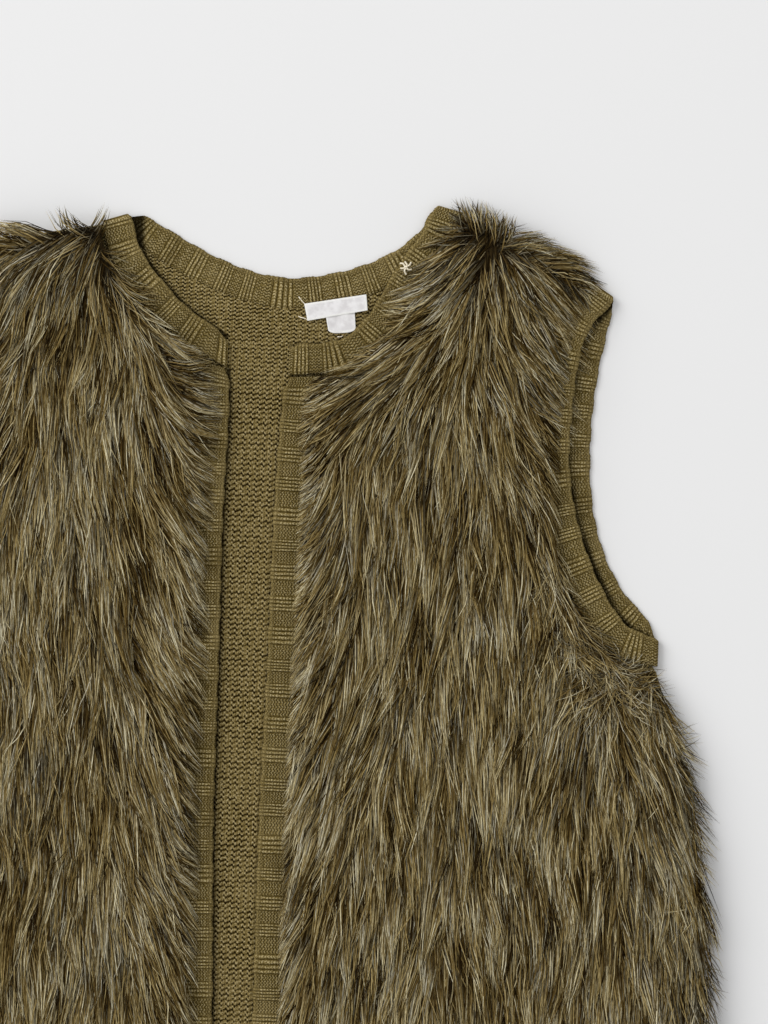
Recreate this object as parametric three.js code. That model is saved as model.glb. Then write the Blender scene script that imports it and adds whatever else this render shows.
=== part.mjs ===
// A sleeveless knit vest with fur fronts, laid flat on its back with its front up.
// Millimetres. Seen from above, +X is to the right and +Y is towards the neck; +Z is up from the
// surface it lies on. Tables give x from the vest's middle line and y from the front neck corners.
import * as THREE from "three";

// Cloth and seams
const KNIT_WALL = 2.6;
const BAND_WALL = 1.9;
const BAND_WIDTH = 18;
const BAND_ROUND = 1.2;
const RIB_PITCH = 17.7;
const RIB_RAISE = 0.8;
const SEAM_GAP = 0.3;
const CHORD_ROOM = 0.3;
const PANEL_INSET = BAND_WIDTH + SEAM_GAP + CHORD_ROOM;

// The back layer lies at zero, the front layer lies on it
const FRONT_LEVEL = BAND_WALL + RIB_RAISE + SEAM_GAP;
const FOLD_RADIUS = FRONT_LEVEL / 2;
const TURN_LENGTH = 22;

// Body
const HEM_Y = -519;
const UNDERARM_Y = -165;
const SHOULDER_ARCH = 2.5;

// Fur
const FUR_HEIGHT = 19;
const FUR_FLOOR = 0.8;
const FUR_LIP_LEVEL = FRONT_LEVEL + BAND_WALL + RIB_RAISE + SEAM_GAP;
const FUR_TIP = 2.2;
const FUR_PAST_HEM = 10;
const FUR_PAST_SHOULDER = 13;
const FUR_OVER_FRONT_BAND = 8;
const TUFT_DEPTH = 2.5;
const TUFT_SHARE = 0.17;
const LOCK_RISE = 1.3;
const ROUND_INSIDE = 24;
const ROUND_OUTSIDE = 34;
const ROUND_END = 30;
const FADE_LENGTH = 18;
const TOP_POINTS = 22;
const UNDER_POINTS = 7;
const RIM_CROWDING = 0.085;
const ROWS_BELOW_ARM = 24;
const ROWS_BESIDE_ARM = 12;
const ROWS_BESIDE_NECK = 9;
// Just past a cloth edge the underside steps down to the floor, clear of the cloth
const CLEAR = 0.6;
const STEP = 0.3;
// Shares of the neck band's front stretches that lie above the front bands, and of the armhole
// below the row that starts at the front neck corner
const CORNER_SHARE_RIGHT = 0.13;
const CORNER_SHARE_LEFT = 0.14;
const ARMHOLE_SHARE_AT_CORNER = 0.62;

// Label
const LABEL_WALL = 1;

// Colours
const KNIT_COLOUR = 0x66583a;
const RIB_COLOUR = 0x685a39;
const FUR_COLOUR = 0x5c5139;
const LABEL_COLOUR = 0xe9e6df;

// Free edges, from the photographed outline. Each runs in the order of its heading.
const FRONT_EDGE_RIGHT_UP = [
  { x: 13, y: HEM_Y },
  { x: 13, y: -386 },
  { x: 12, y: -264 },
  { x: 13, y: -160 },
  { x: 13, y: -90 },
  { x: 15, y: -21 },
  { x: 17, y: 2.6 },
];
const FRONT_EDGE_LEFT_UP = [
  { x: -12, y: HEM_Y },
  { x: -12, y: -387 },
  { x: -16, y: -265 },
  { x: -17, y: -161 },
  { x: -18, y: -79 },
  { x: -17, y: -20 },
  { x: -18, y: 5.6 },
];
const NECK_FRONT_RIGHT_UP = [
  { x: 18, y: 22 },
  { x: 30, y: 23 },
  { x: 45, y: 25 },
  { x: 56, y: 31.5 },
  { x: 67, y: 45 },
  { x: 77, y: 64 },
  { x: 88, y: 82 },
  { x: 97, y: 97 },
  { x: 101, y: 107 },
];
const NECK_BACK_LEFTWARD = [
  { x: 101, y: 107 },
  { x: 94, y: 94 },
  { x: 82, y: 83 },
  { x: 64, y: 73 },
  { x: 43, y: 66 },
  { x: 17, y: 62 },
  { x: -6, y: 65 },
  { x: -31, y: 74 },
  { x: -56, y: 87 },
  { x: -74, y: 95 },
  { x: -80, y: 99 },
];
const NECK_FRONT_LEFT_DOWN = [
  { x: -80, y: 99 },
  { x: -77, y: 86 },
  { x: -72, y: 71 },
  { x: -60, y: 57 },
  { x: -46, y: 43 },
  { x: -33, y: 34 },
  { x: -19, y: 25 },
];
const ARMHOLE_FRONT_DOWN = [
  { x: 212, y: 56 },
  { x: 204, y: 48 },
  { x: 197, y: 38 },
  { x: 192, y: 20 },
  { x: 189, y: -12 },
  { x: 189, y: -46 },
  { x: 196, y: -80 },
  { x: 209, y: -112 },
  { x: 225, y: -133 },
  { x: 238, y: -143 },
  { x: 247, y: -147 },
];
const ARMHOLE_BACK_UP = [
  { x: 247, y: -147 },
  { x: 240, y: -136 },
  { x: 226, y: -120 },
  { x: 213, y: -98 },
  { x: 204, y: -68 },
  { x: 201, y: -30 },
  { x: 203, y: 6 },
  { x: 208, y: 36 },
  { x: 212, y: 56 },
];
// The side fold of the cloth, from the hem to the underarm
const SIDE_FOLD_UP = [
  { x: 281, y: HEM_Y },
  { x: 283, y: -430 },
  { x: 284, y: -360 },
  { x: 283, y: -318 },
  { x: 279, y: -285 },
  { x: 272, y: -250 },
  { x: 265, y: -218 },
  { x: 255, y: -188 },
  { x: 247.5, y: UNDERARM_Y - 1 },
];
// How far the fur hangs out past the side fold, or over the armhole band, by height
const FUR_OVERHANG_OUTSIDE = [
  { y: HEM_Y, overhang: 10 },
  { y: -205, overhang: 10 },
  { y: -180, overhang: 5 },
  { y: UNDERARM_Y, overhang: 1.5 },
  { y: -120, overhang: 3 },
  { y: -84, overhang: 6 },
  { y: -50, overhang: 11 },
  { y: 20, overhang: 11 },
  { y: 52, overhang: 3 },
];
const LABEL_CORNERS = [
  { x: 29, y: 35 },
  { x: 62, y: 43.1 },
  { x: 64, y: 45.5 },
  { x: 63.6, y: 53.9 },
  { x: 26, y: 47 },
];
const TAB_CORNERS = [
  { x: 41, y: 30.5 },
  { x: 53, y: 30.4 },
  { x: 57.6, y: 33.2 },
  { x: 58.4, y: 41.9 },
  { x: 39.3, y: 37.2 },
];
// Directions from a band's seam to its free edge, where the band folds over or ends
const AT_RIGHT_NECK = new THREE.Vector3(-0.97, 0.24, 0);
const AT_LEFT_NECK = new THREE.Vector3(0.93, 0.37, 0);
const AT_CORNER = new THREE.Vector3(0, 1, 0);
const AT_SHOULDER_TIP = new THREE.Vector3(0.84, -0.54, 0);
const AT_UNDERARM = new THREE.Vector3(0, 1, 0);
const AT_FRONT_EDGE_RIGHT = new THREE.Vector3(-1, 0, 0);
const AT_FRONT_EDGE_LEFT = new THREE.Vector3(1, 0, 0);
const AT_FRONT_TOP_RIGHT = new THREE.Vector3(-0.997, -0.07, 0);
const AT_FRONT_TOP_LEFT = new THREE.Vector3(0.96, -0.27, 0);

const UP = new THREE.Vector3(0, 0, 1);
const clamp01 = (value) => Math.min(Math.max(value, 0), 1);
const smooth = (value) => clamp01(value) ** 2 * (3 - 2 * clamp01(value));
const mix = (from, to, share) => from + (to - from) * share;
const crown = (distance, radius) => Math.sqrt(1 - (1 - clamp01(distance / radius)) ** 2);

function curveThrough(table) {
  const points = table.map(({ x, y }) => new THREE.Vector3(x, y, 0));
  return new THREE.CatmullRomCurve3(points, false, "centripetal");
}

// The value of a table's column at a height, between its rows
function atHeight(table, column, y) {
  const next = table.findIndex((row) => row.y > y);
  if (next < 0) return table[table.length - 1][column];
  if (next === 0) return table[0][column];
  const below = table[next - 1];
  const above = table[next];
  return mix(below[column], above[column], (y - below.y) / (above.y - below.y));
}

const flatEnd = (ring) => THREE.ShapeUtils.triangulateShape(ring.flat, []);

// Closes a row of rings into one body. Each ring turns anticlockwise about the way the rings run,
// and its flat points are the same ring drawn in its own plane, for the two ends.
function skin(rings, isLoop = false, endFaces = flatEnd) {
  const size = rings[0].points.length;
  const positions = rings.flatMap((ring) => ring.points.flatMap((point) => point.toArray()));
  const index = [];
  const spans = isLoop ? rings.length : rings.length - 1;
  for (let i = 0; i < spans; i += 1) {
    const here = i * size;
    const there = ((i + 1) % rings.length) * size;
    for (let j = 0; j < size; j += 1) {
      const next = (j + 1) % size;
      index.push(here + j, here + next, there + next);
      index.push(here + j, there + next, there + j);
    }
  }
  if (!isLoop) {
    const last = (rings.length - 1) * size;
    endFaces(rings[0]).forEach(([a, b, c]) => index.push(c, b, a));
    endFaces(rings[rings.length - 1]).forEach(([a, b, c]) => index.push(last + a, last + b, last + c));
  }
  const geometry = new THREE.BufferGeometry();
  geometry.setAttribute("position", new THREE.Float32BufferAttribute(positions, 3));
  geometry.setIndex(index);
  geometry.computeVertexNormals();
  return geometry;
}

// The other side's copy of a piece
function mirrored(geometry) {
  const copy = geometry.clone().scale(-1, 1, 1);
  const index = copy.getIndex();
  for (let i = 0; i < index.count; i += 3) {
    const second = index.getX(i + 1);
    index.setX(i + 1, index.getX(i + 2));
    index.setX(i + 2, second);
  }
  copy.computeVertexNormals();
  return copy;
}

function mirroredPoints(points) {
  return points.map((point) => new THREE.Vector3(-point.x, point.y, point.z));
}

// One stretch of a band in one layer. Its table is the free edge, and starts and ends give the
// direction across the band there.
class Stretch {
  constructor(table, isFront, start, end) {
    this.curve = curveThrough(table);
    this.length = this.curve.getLength();
    this.isFront = isFront;
    this.start = start;
    this.end = end;
  }

  // The unit direction from the seam to the free edge
  across(share) {
    const tangent = this.curve.getTangentAt(share);
    const turn = this.isFront ? 1 : -1;
    const direction = new THREE.Vector3(-tangent.y * turn, tangent.x * turn, 0);
    direction.lerp(this.start, 1 - smooth((share * this.length) / TURN_LENGTH));
    direction.lerp(this.end, 1 - smooth(((1 - share) * this.length) / TURN_LENGTH));
    return direction.normalize();
  }

  // Points beside the free edge, on the seam's side of it
  beside(distance, count, from = 0, to = 1) {
    return Array.from({ length: count + 1 }, (_, i) => {
      const share = mix(from, to, i / count);
      return this.curve.getPointAt(share).addScaledVector(this.across(share), -distance);
    });
  }

  // Stations along the stretch: four for each rib, with the band plain at both ends
  stations() {
    const ribs = Math.round(this.length / RIB_PITCH);
    const steps = [
      { share: 0.1, rib: 0 },
      { share: 0.2, rib: 1 },
      { share: 0.66, rib: 1 },
      { share: 0.76, rib: 0 },
    ];
    const places = [{ share: 0, rib: 0 }];
    for (let i = 0; i < ribs; i += 1) {
      steps.forEach(({ share, rib }) => places.push({ share: (i + share) / ribs, rib }));
    }
    places.push({ share: 1, rib: 0 });
    return places.map(({ share, rib }) => ({
      edge: this.curve.getPointAt(share).setZ(BAND_WALL / 2 + (this.isFront ? FRONT_LEVEL : 0)),
      across: this.across(share),
      outward: UP.clone().multiplyScalar(this.isFront ? 1 : -1),
      rib,
      isFront: this.isFront,
    }));
  }
}

// Stations where a band turns over a fold line, from one layer to the other
function foldStations(place, across, fromFront) {
  const away = fromFront ? across.clone().cross(UP) : UP.clone().cross(across);
  return [0.25, 0.5, 0.75].map((share) => {
    const angle = Math.PI * (fromFront ? 1 - share : share);
    const edge = new THREE.Vector3(place.x, place.y, BAND_WALL / 2 + FOLD_RADIUS * (1 - Math.cos(angle)));
    edge.addScaledVector(away, FOLD_RADIUS * Math.sin(angle));
    const outward = away.clone().multiplyScalar(Math.sin(angle)).addScaledVector(UP, -Math.cos(angle));
    return { edge, across, outward, rib: 0, isFront: fromFront };
  });
}

// A band's section at a station: square at the seam, rounded at the free edge, the rib raised on
// the face that is up
function bandRing({ edge, across, outward, rib, isFront }) {
  const outer = BAND_WALL / 2 + (isFront ? rib * RIB_RAISE : 0);
  const inner = -BAND_WALL / 2 - (isFront ? 0 : rib * RIB_RAISE);
  const section = [
    [-BAND_WIDTH, inner],
    [-BAND_ROUND, inner],
    [0, inner * 0.4],
    [0, outer * 0.4],
    [-BAND_ROUND, outer],
    [-BAND_WIDTH, outer],
  ];
  return {
    points: section.map(([width, height]) =>
      edge.clone().addScaledVector(across, width).addScaledVector(outward, height),
    ),
    flat: section.map(([width, height]) => new THREE.Vector2(width, height)),
  };
}

// The stretches of all bands
const neckFrontRight = new Stretch(NECK_FRONT_RIGHT_UP, true, AT_CORNER, AT_RIGHT_NECK);
const neckBack = new Stretch(NECK_BACK_LEFTWARD, false, AT_RIGHT_NECK, AT_LEFT_NECK);
const neckFrontLeft = new Stretch(NECK_FRONT_LEFT_DOWN, true, AT_LEFT_NECK, AT_CORNER);
const armholeFront = new Stretch(ARMHOLE_FRONT_DOWN, true, AT_SHOULDER_TIP, AT_UNDERARM);
const armholeBack = new Stretch(ARMHOLE_BACK_UP, false, AT_UNDERARM, AT_SHOULDER_TIP);

function neckBand() {
  const stations = [
    ...neckFrontRight.stations(),
    ...foldStations(neckFrontRight.curve.getPointAt(1), AT_RIGHT_NECK, true),
    ...neckBack.stations(),
    ...foldStations(neckBack.curve.getPointAt(1), AT_LEFT_NECK, false),
    ...neckFrontLeft.stations(),
  ];
  return skin(stations.map(bandRing));
}

function armholeBand() {
  const stations = [
    ...armholeFront.stations(),
    ...foldStations(armholeFront.curve.getPointAt(1), AT_UNDERARM, true),
    ...armholeBack.stations(),
    ...foldStations(armholeBack.curve.getPointAt(1), AT_SHOULDER_TIP, false),
  ];
  return skin(stations.map(bandRing), true);
}

// The front bands run on from the neck band's ends, so the right one is listed upwards and the left
// one downwards. Their top ends slant along the neck band's seam.
const frontRight = new Stretch(FRONT_EDGE_RIGHT_UP, true, AT_FRONT_EDGE_RIGHT, AT_FRONT_TOP_RIGHT);
const frontLeft = new Stretch(FRONT_EDGE_LEFT_UP.toReversed(), true, AT_FRONT_TOP_LEFT, AT_FRONT_EDGE_LEFT);

function frontBand(stretch) {
  return skin(stretch.stations().map(bandRing));
}

// The shoulder line from the neck band's seam to the armhole band's seam, slightly arched
function shoulderLine(from, to, count) {
  return Array.from({ length: count + 1 }, (_, i) => {
    const share = i / count;
    const point = from.clone().lerp(to, share);
    point.y += SHOULDER_ARCH * Math.sin(Math.PI * share);
    return point;
  });
}

// The back, one flat wall whose outline follows the bands' seams and the side folds
function backPanel() {
  const armhole = armholeBack.beside(PANEL_INSET, 26, 0.02, 1);
  const side = curveThrough(SIDE_FOLD_UP).getSpacedPoints(24);
  side.forEach((point) => {
    point.x -= SEAM_GAP + CHORD_ROOM;
  });
  const neck = neckBack.beside(PANEL_INSET, 30);
  const tip = armhole[armhole.length - 1];
  const shoulderRight = shoulderLine(neck[0], tip, 6).slice(1, -1).reverse();
  const shoulderLeft = shoulderLine(neck[neck.length - 1], mirroredPoints([tip])[0], 6).slice(1, -1);
  const outline = [
    ...side,
    ...armhole,
    ...shoulderRight,
    ...neck,
    ...shoulderLeft,
    ...mirroredPoints(armhole).reverse(),
    ...mirroredPoints(side).reverse(),
  ];
  const shape = new THREE.Shape(outline.map(({ x, y }) => new THREE.Vector2(x, y)));
  return new THREE.ExtrudeGeometry(shape, { depth: KNIT_WALL, bevelEnabled: false });
}

const spans = (points) => points.slice(1).map((point, i) => point.distanceTo(points[i]));
const lineLength = (points) => spans(points).reduce((sum, length) => sum + length, 0);

// A point at a share of a line's length
function walk(points, share) {
  const lengths = spans(points);
  let left = share * lineLength(points);
  for (let i = 0; i < lengths.length; i += 1) {
    if (left <= lengths[i] || i === lengths.length - 1) {
      return points[i].clone().lerp(points[i + 1], Math.min(left / lengths[i], 1));
    }
    left -= lengths[i];
  }
  return points[0].clone();
}

// Locks lie in staggered swells that run down the front and lean out to the side
function lockSwell(x, y) {
  const across = x + 0.22 * y;
  const along = y + 9 * Math.sin(across / 7);
  return 0.6 * Math.sin(across / 5.2 + Math.sin(along / 16)) + 0.4 * Math.sin(along / 7.5 + across / 11);
}

// Tufts make the fur's rim uneven
const tuft = (place) => 0.7 * Math.sin(place / 6.1) + 0.5 * Math.sin(place / 3.3 + 1);

// The rows of a fur front, from past the hem to past the shoulder. Each lies between a place on
// the inner edge (front band and neck band) and one on the outer edge (side fold and armhole
// band). The levels are those of its underside inside, in the middle and outside.
function furRows(inner, outer, innerUnderarm, innerCorner, outerUnderarm, outerCorner) {
  const rows = [];
  const loose = { inside: FUR_FLOOR, middle: FUR_FLOOR, outside: FUR_FLOOR };
  const side = { inside: FUR_LIP_LEVEL, middle: FRONT_LEVEL, outside: FUR_FLOOR };
  const arm = { inside: FUR_LIP_LEVEL, middle: FRONT_LEVEL, outside: FUR_LIP_LEVEL };
  const add = (innerShare, outerShare, past, level) => {
    rows.push({ from: walk(inner, innerShare), to: walk(outer, outerShare), past, level });
  };
  [-FUR_PAST_HEM, -FUR_PAST_HEM * 0.6, -CLEAR - STEP].forEach((past) => add(0, 0, past, loose));
  add(0, 0, -CLEAR, side);
  for (let i = 1; i <= ROWS_BELOW_ARM; i += 1) {
    const share = i / ROWS_BELOW_ARM;
    add(innerUnderarm * share, outerUnderarm * share, 0, side);
  }
  for (let i = 0; i <= ROWS_BESIDE_ARM; i += 1) {
    const share = i / ROWS_BESIDE_ARM;
    const lift = i === 0 ? CLEAR + STEP : 0;
    add(mix(innerUnderarm, innerCorner, share), mix(outerUnderarm, outerCorner, share), lift, arm);
  }
  for (let i = 1; i <= ROWS_BESIDE_NECK; i += 1) {
    const share = i / ROWS_BESIDE_NECK;
    const lift = i === ROWS_BESIDE_NECK ? CLEAR : 0;
    add(mix(innerCorner, 1, share), mix(outerCorner, 1, share), lift, arm);
  }
  [CLEAR + STEP, FUR_PAST_SHOULDER / 2, FUR_PAST_SHOULDER].forEach((past) => add(1, 1, past, loose));
  return rows;
}

// One fur front, made on the right. Its sections lie across the front: a flat underside on the
// back panel, a lip over each band, and a crowned top.
function furFront(frontSeam, neckSeam) {
  const armhole = armholeFront.beside(PANEL_INSET, 40).reverse();
  const side = curveThrough(SIDE_FOLD_UP).getSpacedPoints(40);
  side[side.length - 1].y -= CLEAR * 2;
  const inner = [...frontSeam, ...neckSeam];
  const outer = [...side, ...armhole.slice(1)];
  const innerUnderarm = (UNDERARM_Y - HEM_Y) / lineLength(inner);
  const innerCorner = lineLength(frontSeam) / lineLength(inner);
  const outerUnderarm = lineLength(side) / lineLength(outer);
  const outerCorner = mix(outerUnderarm, 1, ARMHOLE_SHARE_AT_CORNER);
  const rows = furRows(inner, outer, innerUnderarm, innerCorner, outerUnderarm, outerCorner);
  const shoulderFrom = inner[inner.length - 1];
  const shoulderTo = outer[outer.length - 1];
  const along = shoulderTo.clone().sub(shoulderFrom).normalize();
  const upward = UP.clone().cross(along);

  return rows.map((row) => {
    const length = row.from.distanceTo(row.to);
    const direction = row.to.clone().sub(row.from).divideScalar(length);
    const beyond = UP.clone().cross(direction);
    const isPastShoulder = row.past > 0 && row.level.inside === FUR_FLOOR;
    const isAtShoulder = row.from.distanceTo(shoulderFrom) < CLEAR;
    const isLipped = smooth(shoulderFrom.distanceTo(row.from) / FADE_LENGTH);
    const overInner = FUR_OVER_FRONT_BAND + TUFT_DEPTH * tuft(row.from.y + row.from.x);
    const overOuter = atHeight(FUR_OVERHANG_OUTSIDE, "overhang", row.to.y);
    const uneven = 1 + TUFT_SHARE * tuft(row.to.y);
    const lipIn = isPastShoulder ? -2 * CLEAR : mix(-CLEAR, overInner, isLipped);
    const lipOut = isPastShoulder ? -2 * CLEAR : mix(-CLEAR, overOuter * uneven, isLipped);

    const stepIn = Math.max(0, -lipIn + STEP);
    const stepOut = length - Math.max(0, -lipOut + STEP);
    const under = Array.from({ length: UNDER_POINTS }, (_, i) =>
      mix(stepIn + STEP, stepOut - STEP, i / (UNDER_POINTS - 1)),
    );

    // Past the hem and the shoulder the rows bow out in tufts, alike above and below
    const shifts = under.map((s) => {
      const share = clamp01(s / length);
      const bulge = isPastShoulder ? 0.45 + 0.55 * Math.sin(Math.PI * share) ** 0.6 : 1;
      const wave = Math.abs(row.past) > 2 * CLEAR ? 1 + TUFT_SHARE * tuft(s) : 1;
      const arch = isAtShoulder ? SHOULDER_ARCH * Math.sin(Math.PI * share) : 0;
      return row.past * bulge * wave + arch;
    });
    const place = (s) => {
      const step = clamp01((s - under[0]) / (under[UNDER_POINTS - 1] - under[0])) * (UNDER_POINTS - 1);
      const before = Math.min(Math.floor(step), UNDER_POINTS - 2);
      const shift = mix(shifts[before], shifts[before + 1], step - before);
      return row.from.clone().addScaledVector(direction, s).addScaledVector(beyond, shift);
    };
    const topHeight = (s, point) => {
      const share = clamp01(s / length);
      const rim = FUR_TIP + mix(row.level.inside, row.level.outside, share);
      const belowShoulder = -point.clone().sub(shoulderFrom).dot(upward);
      const toShoulder = isPastShoulder ? FUR_PAST_SHOULDER - row.past : FUR_PAST_SHOULDER + belowShoulder;
      const toHem = Math.max(point.y - HEM_Y + FUR_PAST_HEM, 0);
      const rise =
        crown(s + lipIn, ROUND_INSIDE) *
        crown(length + lipOut - s, ROUND_OUTSIDE) *
        crown(toShoulder + CLEAR, ROUND_END) *
        crown(toHem + CLEAR, ROUND_END);
      return rim + (FUR_HEIGHT - rim) * rise + LOCK_RISE * rise * lockSwell(point.x, point.y);
    };

    const points = [];
    const flat = [];
    const put = (s, height) => {
      const point = place(s);
      points.push(point.setZ(height));
      flat.push(new THREE.Vector2(height, s));
    };
    for (let i = 0; i < TOP_POINTS; i += 1) {
      const even = i / (TOP_POINTS - 1);
      const share = even - RIM_CROWDING * Math.sin(2 * Math.PI * even);
      const s = mix(-lipIn, length + lipOut, share);
      put(s, topHeight(s, place(s)));
    }
    put(length + lipOut, row.level.outside);
    put(stepOut, row.level.outside);
    under.toReversed().forEach((s) => put(s, row.level.middle));
    put(stepIn, row.level.inside);
    put(-lipIn, row.level.inside);
    return { points, flat };
  });
}

// A fur front's end is a low bowed wall, so its faces join the nearest points above and below
function bowedEnd({ flat }) {
  const top = flat.slice(0, TOP_POINTS).map((point, i) => ({ i, s: point.y }));
  const under = flat.map((point, i) => ({ i, s: point.y })).slice(TOP_POINTS).reverse();
  const faces = [];
  while (top.length > 1 || under.length > 1) {
    if (under.length === 1 || (top.length > 1 && top[1].s <= under[1].s)) {
      faces.push([top[0].i, top[1].i, under[0].i]);
      top.shift();
    } else {
      faces.push([top[0].i, under[1].i, under[0].i]);
      under.shift();
    }
  }
  return faces;
}

function furRight() {
  const frontSeam = frontRight.beside(PANEL_INSET, 24);
  const neckSeam = neckFrontRight.beside(PANEL_INSET + CHORD_ROOM, 24, CORNER_SHARE_RIGHT, 1);
  return skin(furFront(frontSeam, neckSeam), false, bowedEnd);
}

function furLeft() {
  const frontSeam = mirroredPoints(frontLeft.beside(PANEL_INSET, 24)).reverse();
  const neckLine = neckFrontLeft.beside(PANEL_INSET + CHORD_ROOM, 24, 0, 1 - CORNER_SHARE_LEFT);
  const neckSeam = mirroredPoints(neckLine).reverse();
  return mirrored(skin(furFront(frontSeam, neckSeam), false, bowedEnd));
}

// A label lies flat on the back panel
function label(corners) {
  const shape = new THREE.Shape(corners.map(({ x, y }) => new THREE.Vector2(x, y)));
  const geometry = new THREE.ExtrudeGeometry(shape, { depth: LABEL_WALL, bevelEnabled: false });
  return geometry.translate(0, 0, KNIT_WALL + SEAM_GAP);
}

const vest = new THREE.Group();

function addPiece(name, geometry, color, roughness) {
  const material = new THREE.MeshStandardMaterial({ color, roughness, metalness: 0 });
  const mesh = new THREE.Mesh(geometry, material);
  mesh.name = name;
  vest.add(mesh);
}

addPiece("back_panel", backPanel(), KNIT_COLOUR, 0.95);
addPiece("neck_band", neckBand(), RIB_COLOUR, 0.95);
addPiece("front_band_right", frontBand(frontRight), RIB_COLOUR, 0.95);
addPiece("front_band_left", frontBand(frontLeft), RIB_COLOUR, 0.95);
addPiece("armhole_band_right", armholeBand(), RIB_COLOUR, 0.95);
addPiece("armhole_band_left", mirrored(armholeBand()), RIB_COLOUR, 0.95);
addPiece("fur_front_right", furRight(), FUR_COLOUR, 0.8);
addPiece("fur_front_left", furLeft(), FUR_COLOUR, 0.8);
addPiece("neck_label", label(LABEL_CORNERS), LABEL_COLOUR, 0.6);
addPiece("size_tab", label(TAB_CORNERS), LABEL_COLOUR, 0.6);

// The origin is under the middle of the vest's box
const middle = new THREE.Box3().setFromObject(vest).getCenter(new THREE.Vector3());
vest.position.set(-middle.x, -middle.y, 0);

export default vest;
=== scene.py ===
# %% [markdown]
# # A knit vest with fur fronts
#
# The vest lies flat on its back with its front up. Its back is plain knit, both fronts are long-pile
# fur, and ribbed bands run round the neck, the front edges and the armholes. The CAD model gives every
# piece its place and size. This lesson dresses each piece with the stitches and the hair that the
# solids only stand for.

# %% The frame
import math

import bpy
import numpy as np
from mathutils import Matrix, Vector
from mathutils.bvhtree import BVHTree
from mathutils.geometry import delaunay_2d_cdt


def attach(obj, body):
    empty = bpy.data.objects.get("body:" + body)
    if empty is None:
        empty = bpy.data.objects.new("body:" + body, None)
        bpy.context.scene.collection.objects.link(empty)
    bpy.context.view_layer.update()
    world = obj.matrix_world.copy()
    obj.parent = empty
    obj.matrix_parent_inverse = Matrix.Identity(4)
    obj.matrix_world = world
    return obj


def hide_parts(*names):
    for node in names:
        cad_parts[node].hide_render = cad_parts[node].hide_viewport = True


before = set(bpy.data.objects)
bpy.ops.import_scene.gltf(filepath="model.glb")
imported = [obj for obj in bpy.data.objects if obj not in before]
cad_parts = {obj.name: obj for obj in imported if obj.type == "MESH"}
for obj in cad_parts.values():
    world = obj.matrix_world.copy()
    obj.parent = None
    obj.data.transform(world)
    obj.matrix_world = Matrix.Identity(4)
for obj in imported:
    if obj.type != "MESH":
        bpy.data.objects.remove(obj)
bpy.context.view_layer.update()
bpy.ops.object.select_all(action="DESELECT")
MM = 0.001

# %% [markdown]
# The photograph looks straight down on the vest, which lies 2.4 degrees askew in the picture. A long
# lens 3 metres up keeps the verticals upright, and turning the camera instead of the vest leaves
# every piece in the CAD frame.

# %% The camera
VIEW_CENTRE = Vector((0.079, 0.1348, 0.012))
VIEW_HEIGHT = 0.6144
VIEW_DISTANCE = 3.0
VIEW_TURN = math.radians(2.4)
SENSOR_WIDTH = 36
bpy.ops.object.camera_add(
    location=VIEW_CENTRE + Vector((0, 0, VIEW_DISTANCE)), rotation=(0, 0, VIEW_TURN)
)
camera = bpy.context.object
camera.name = "camera"
camera.data.sensor_width = SENSOR_WIDTH
camera.data.lens = SENSOR_WIDTH * VIEW_DISTANCE / VIEW_HEIGHT
bpy.context.scene.camera = camera
print("lens in mm:", round(camera.data.lens, 1))

# %% [markdown]
# The light comes from the upper left: the left front's edge throws a thin dark line on the back, and a faint
# shadow lies right of the vest. One wide, high area lamp gives the light and that shadow, the thin dark line
# is painted shade in the back's colour, and a pale world fills the rest as a white room would.

# %% Light and colour
FILL = 0.67
KEY_POWER = 560
KEY_PLACE = Vector((-6.4, 3.8, 4.7))
KEY_AIM = Vector((0.08, 0.05, 0))
KEY_SIZE = 6.5
scene = bpy.context.scene
scene.view_settings.view_transform = "Standard"
world = bpy.data.worlds.new("room")
world.use_nodes = True
world.node_tree.nodes["Background"].inputs["Color"].default_value = (1, 1, 1, 1)
world.node_tree.nodes["Background"].inputs["Strength"].default_value = FILL
scene.world = world
aim = (KEY_AIM - KEY_PLACE).to_track_quat("-Z", "Y")
bpy.ops.object.light_add(type="AREA", location=KEY_PLACE, rotation=aim.to_euler())
key = bpy.context.object
key.name = "key_light"
key.data.shape = "DISK"
key.data.size = KEY_SIZE
key.data.energy = KEY_POWER
print("key lamp's distance in metres:", round((KEY_AIM - KEY_PLACE).length, 2))

# %% [markdown]
# Most finishes here are sums of waves, which read best as plain arithmetic. This small class wraps a
# node's output, so that an expression such as 1 - mask adds the Math nodes by itself. Every other
# node comes from one method of the finish it belongs to.


# %% Shader arithmetic
class Signal:
    """A node's output that takes part in arithmetic."""

    def __init__(self, finish, socket):
        self.finish = finish
        self.socket = socket

    def maths(self, operation, *values):
        inputs = dict(enumerate(values))
        return self.finish.node("ShaderNodeMath", {"operation": operation}, inputs)

    def __add__(self, other):
        return self.maths("ADD", self, other)

    def __radd__(self, other):
        return self.maths("ADD", other, self)

    def __sub__(self, other):
        return self.maths("SUBTRACT", self, other)

    def __rsub__(self, other):
        return self.maths("SUBTRACT", other, self)

    def __mul__(self, other):
        return self.maths("MULTIPLY", self, other)

    def __rmul__(self, other):
        return self.maths("MULTIPLY", other, self)

    def __truediv__(self, other):
        return self.maths("DIVIDE", self, other)

    def __pow__(self, other):
        return self.maths("POWER", self, other)

    def __abs__(self):
        return self.maths("ABSOLUTE", self)

    def wave(self):
        return self.maths("COSINE", self * (2 * math.pi))

    def part(self):
        return self.maths("FRACT", self)

    def between(self, low, high):
        settings = {"interpolation_type": "SMOOTHSTEP"}
        return self.finish.node("ShaderNodeMapRange", settings, {0: self, 1: low, 2: high})


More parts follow.
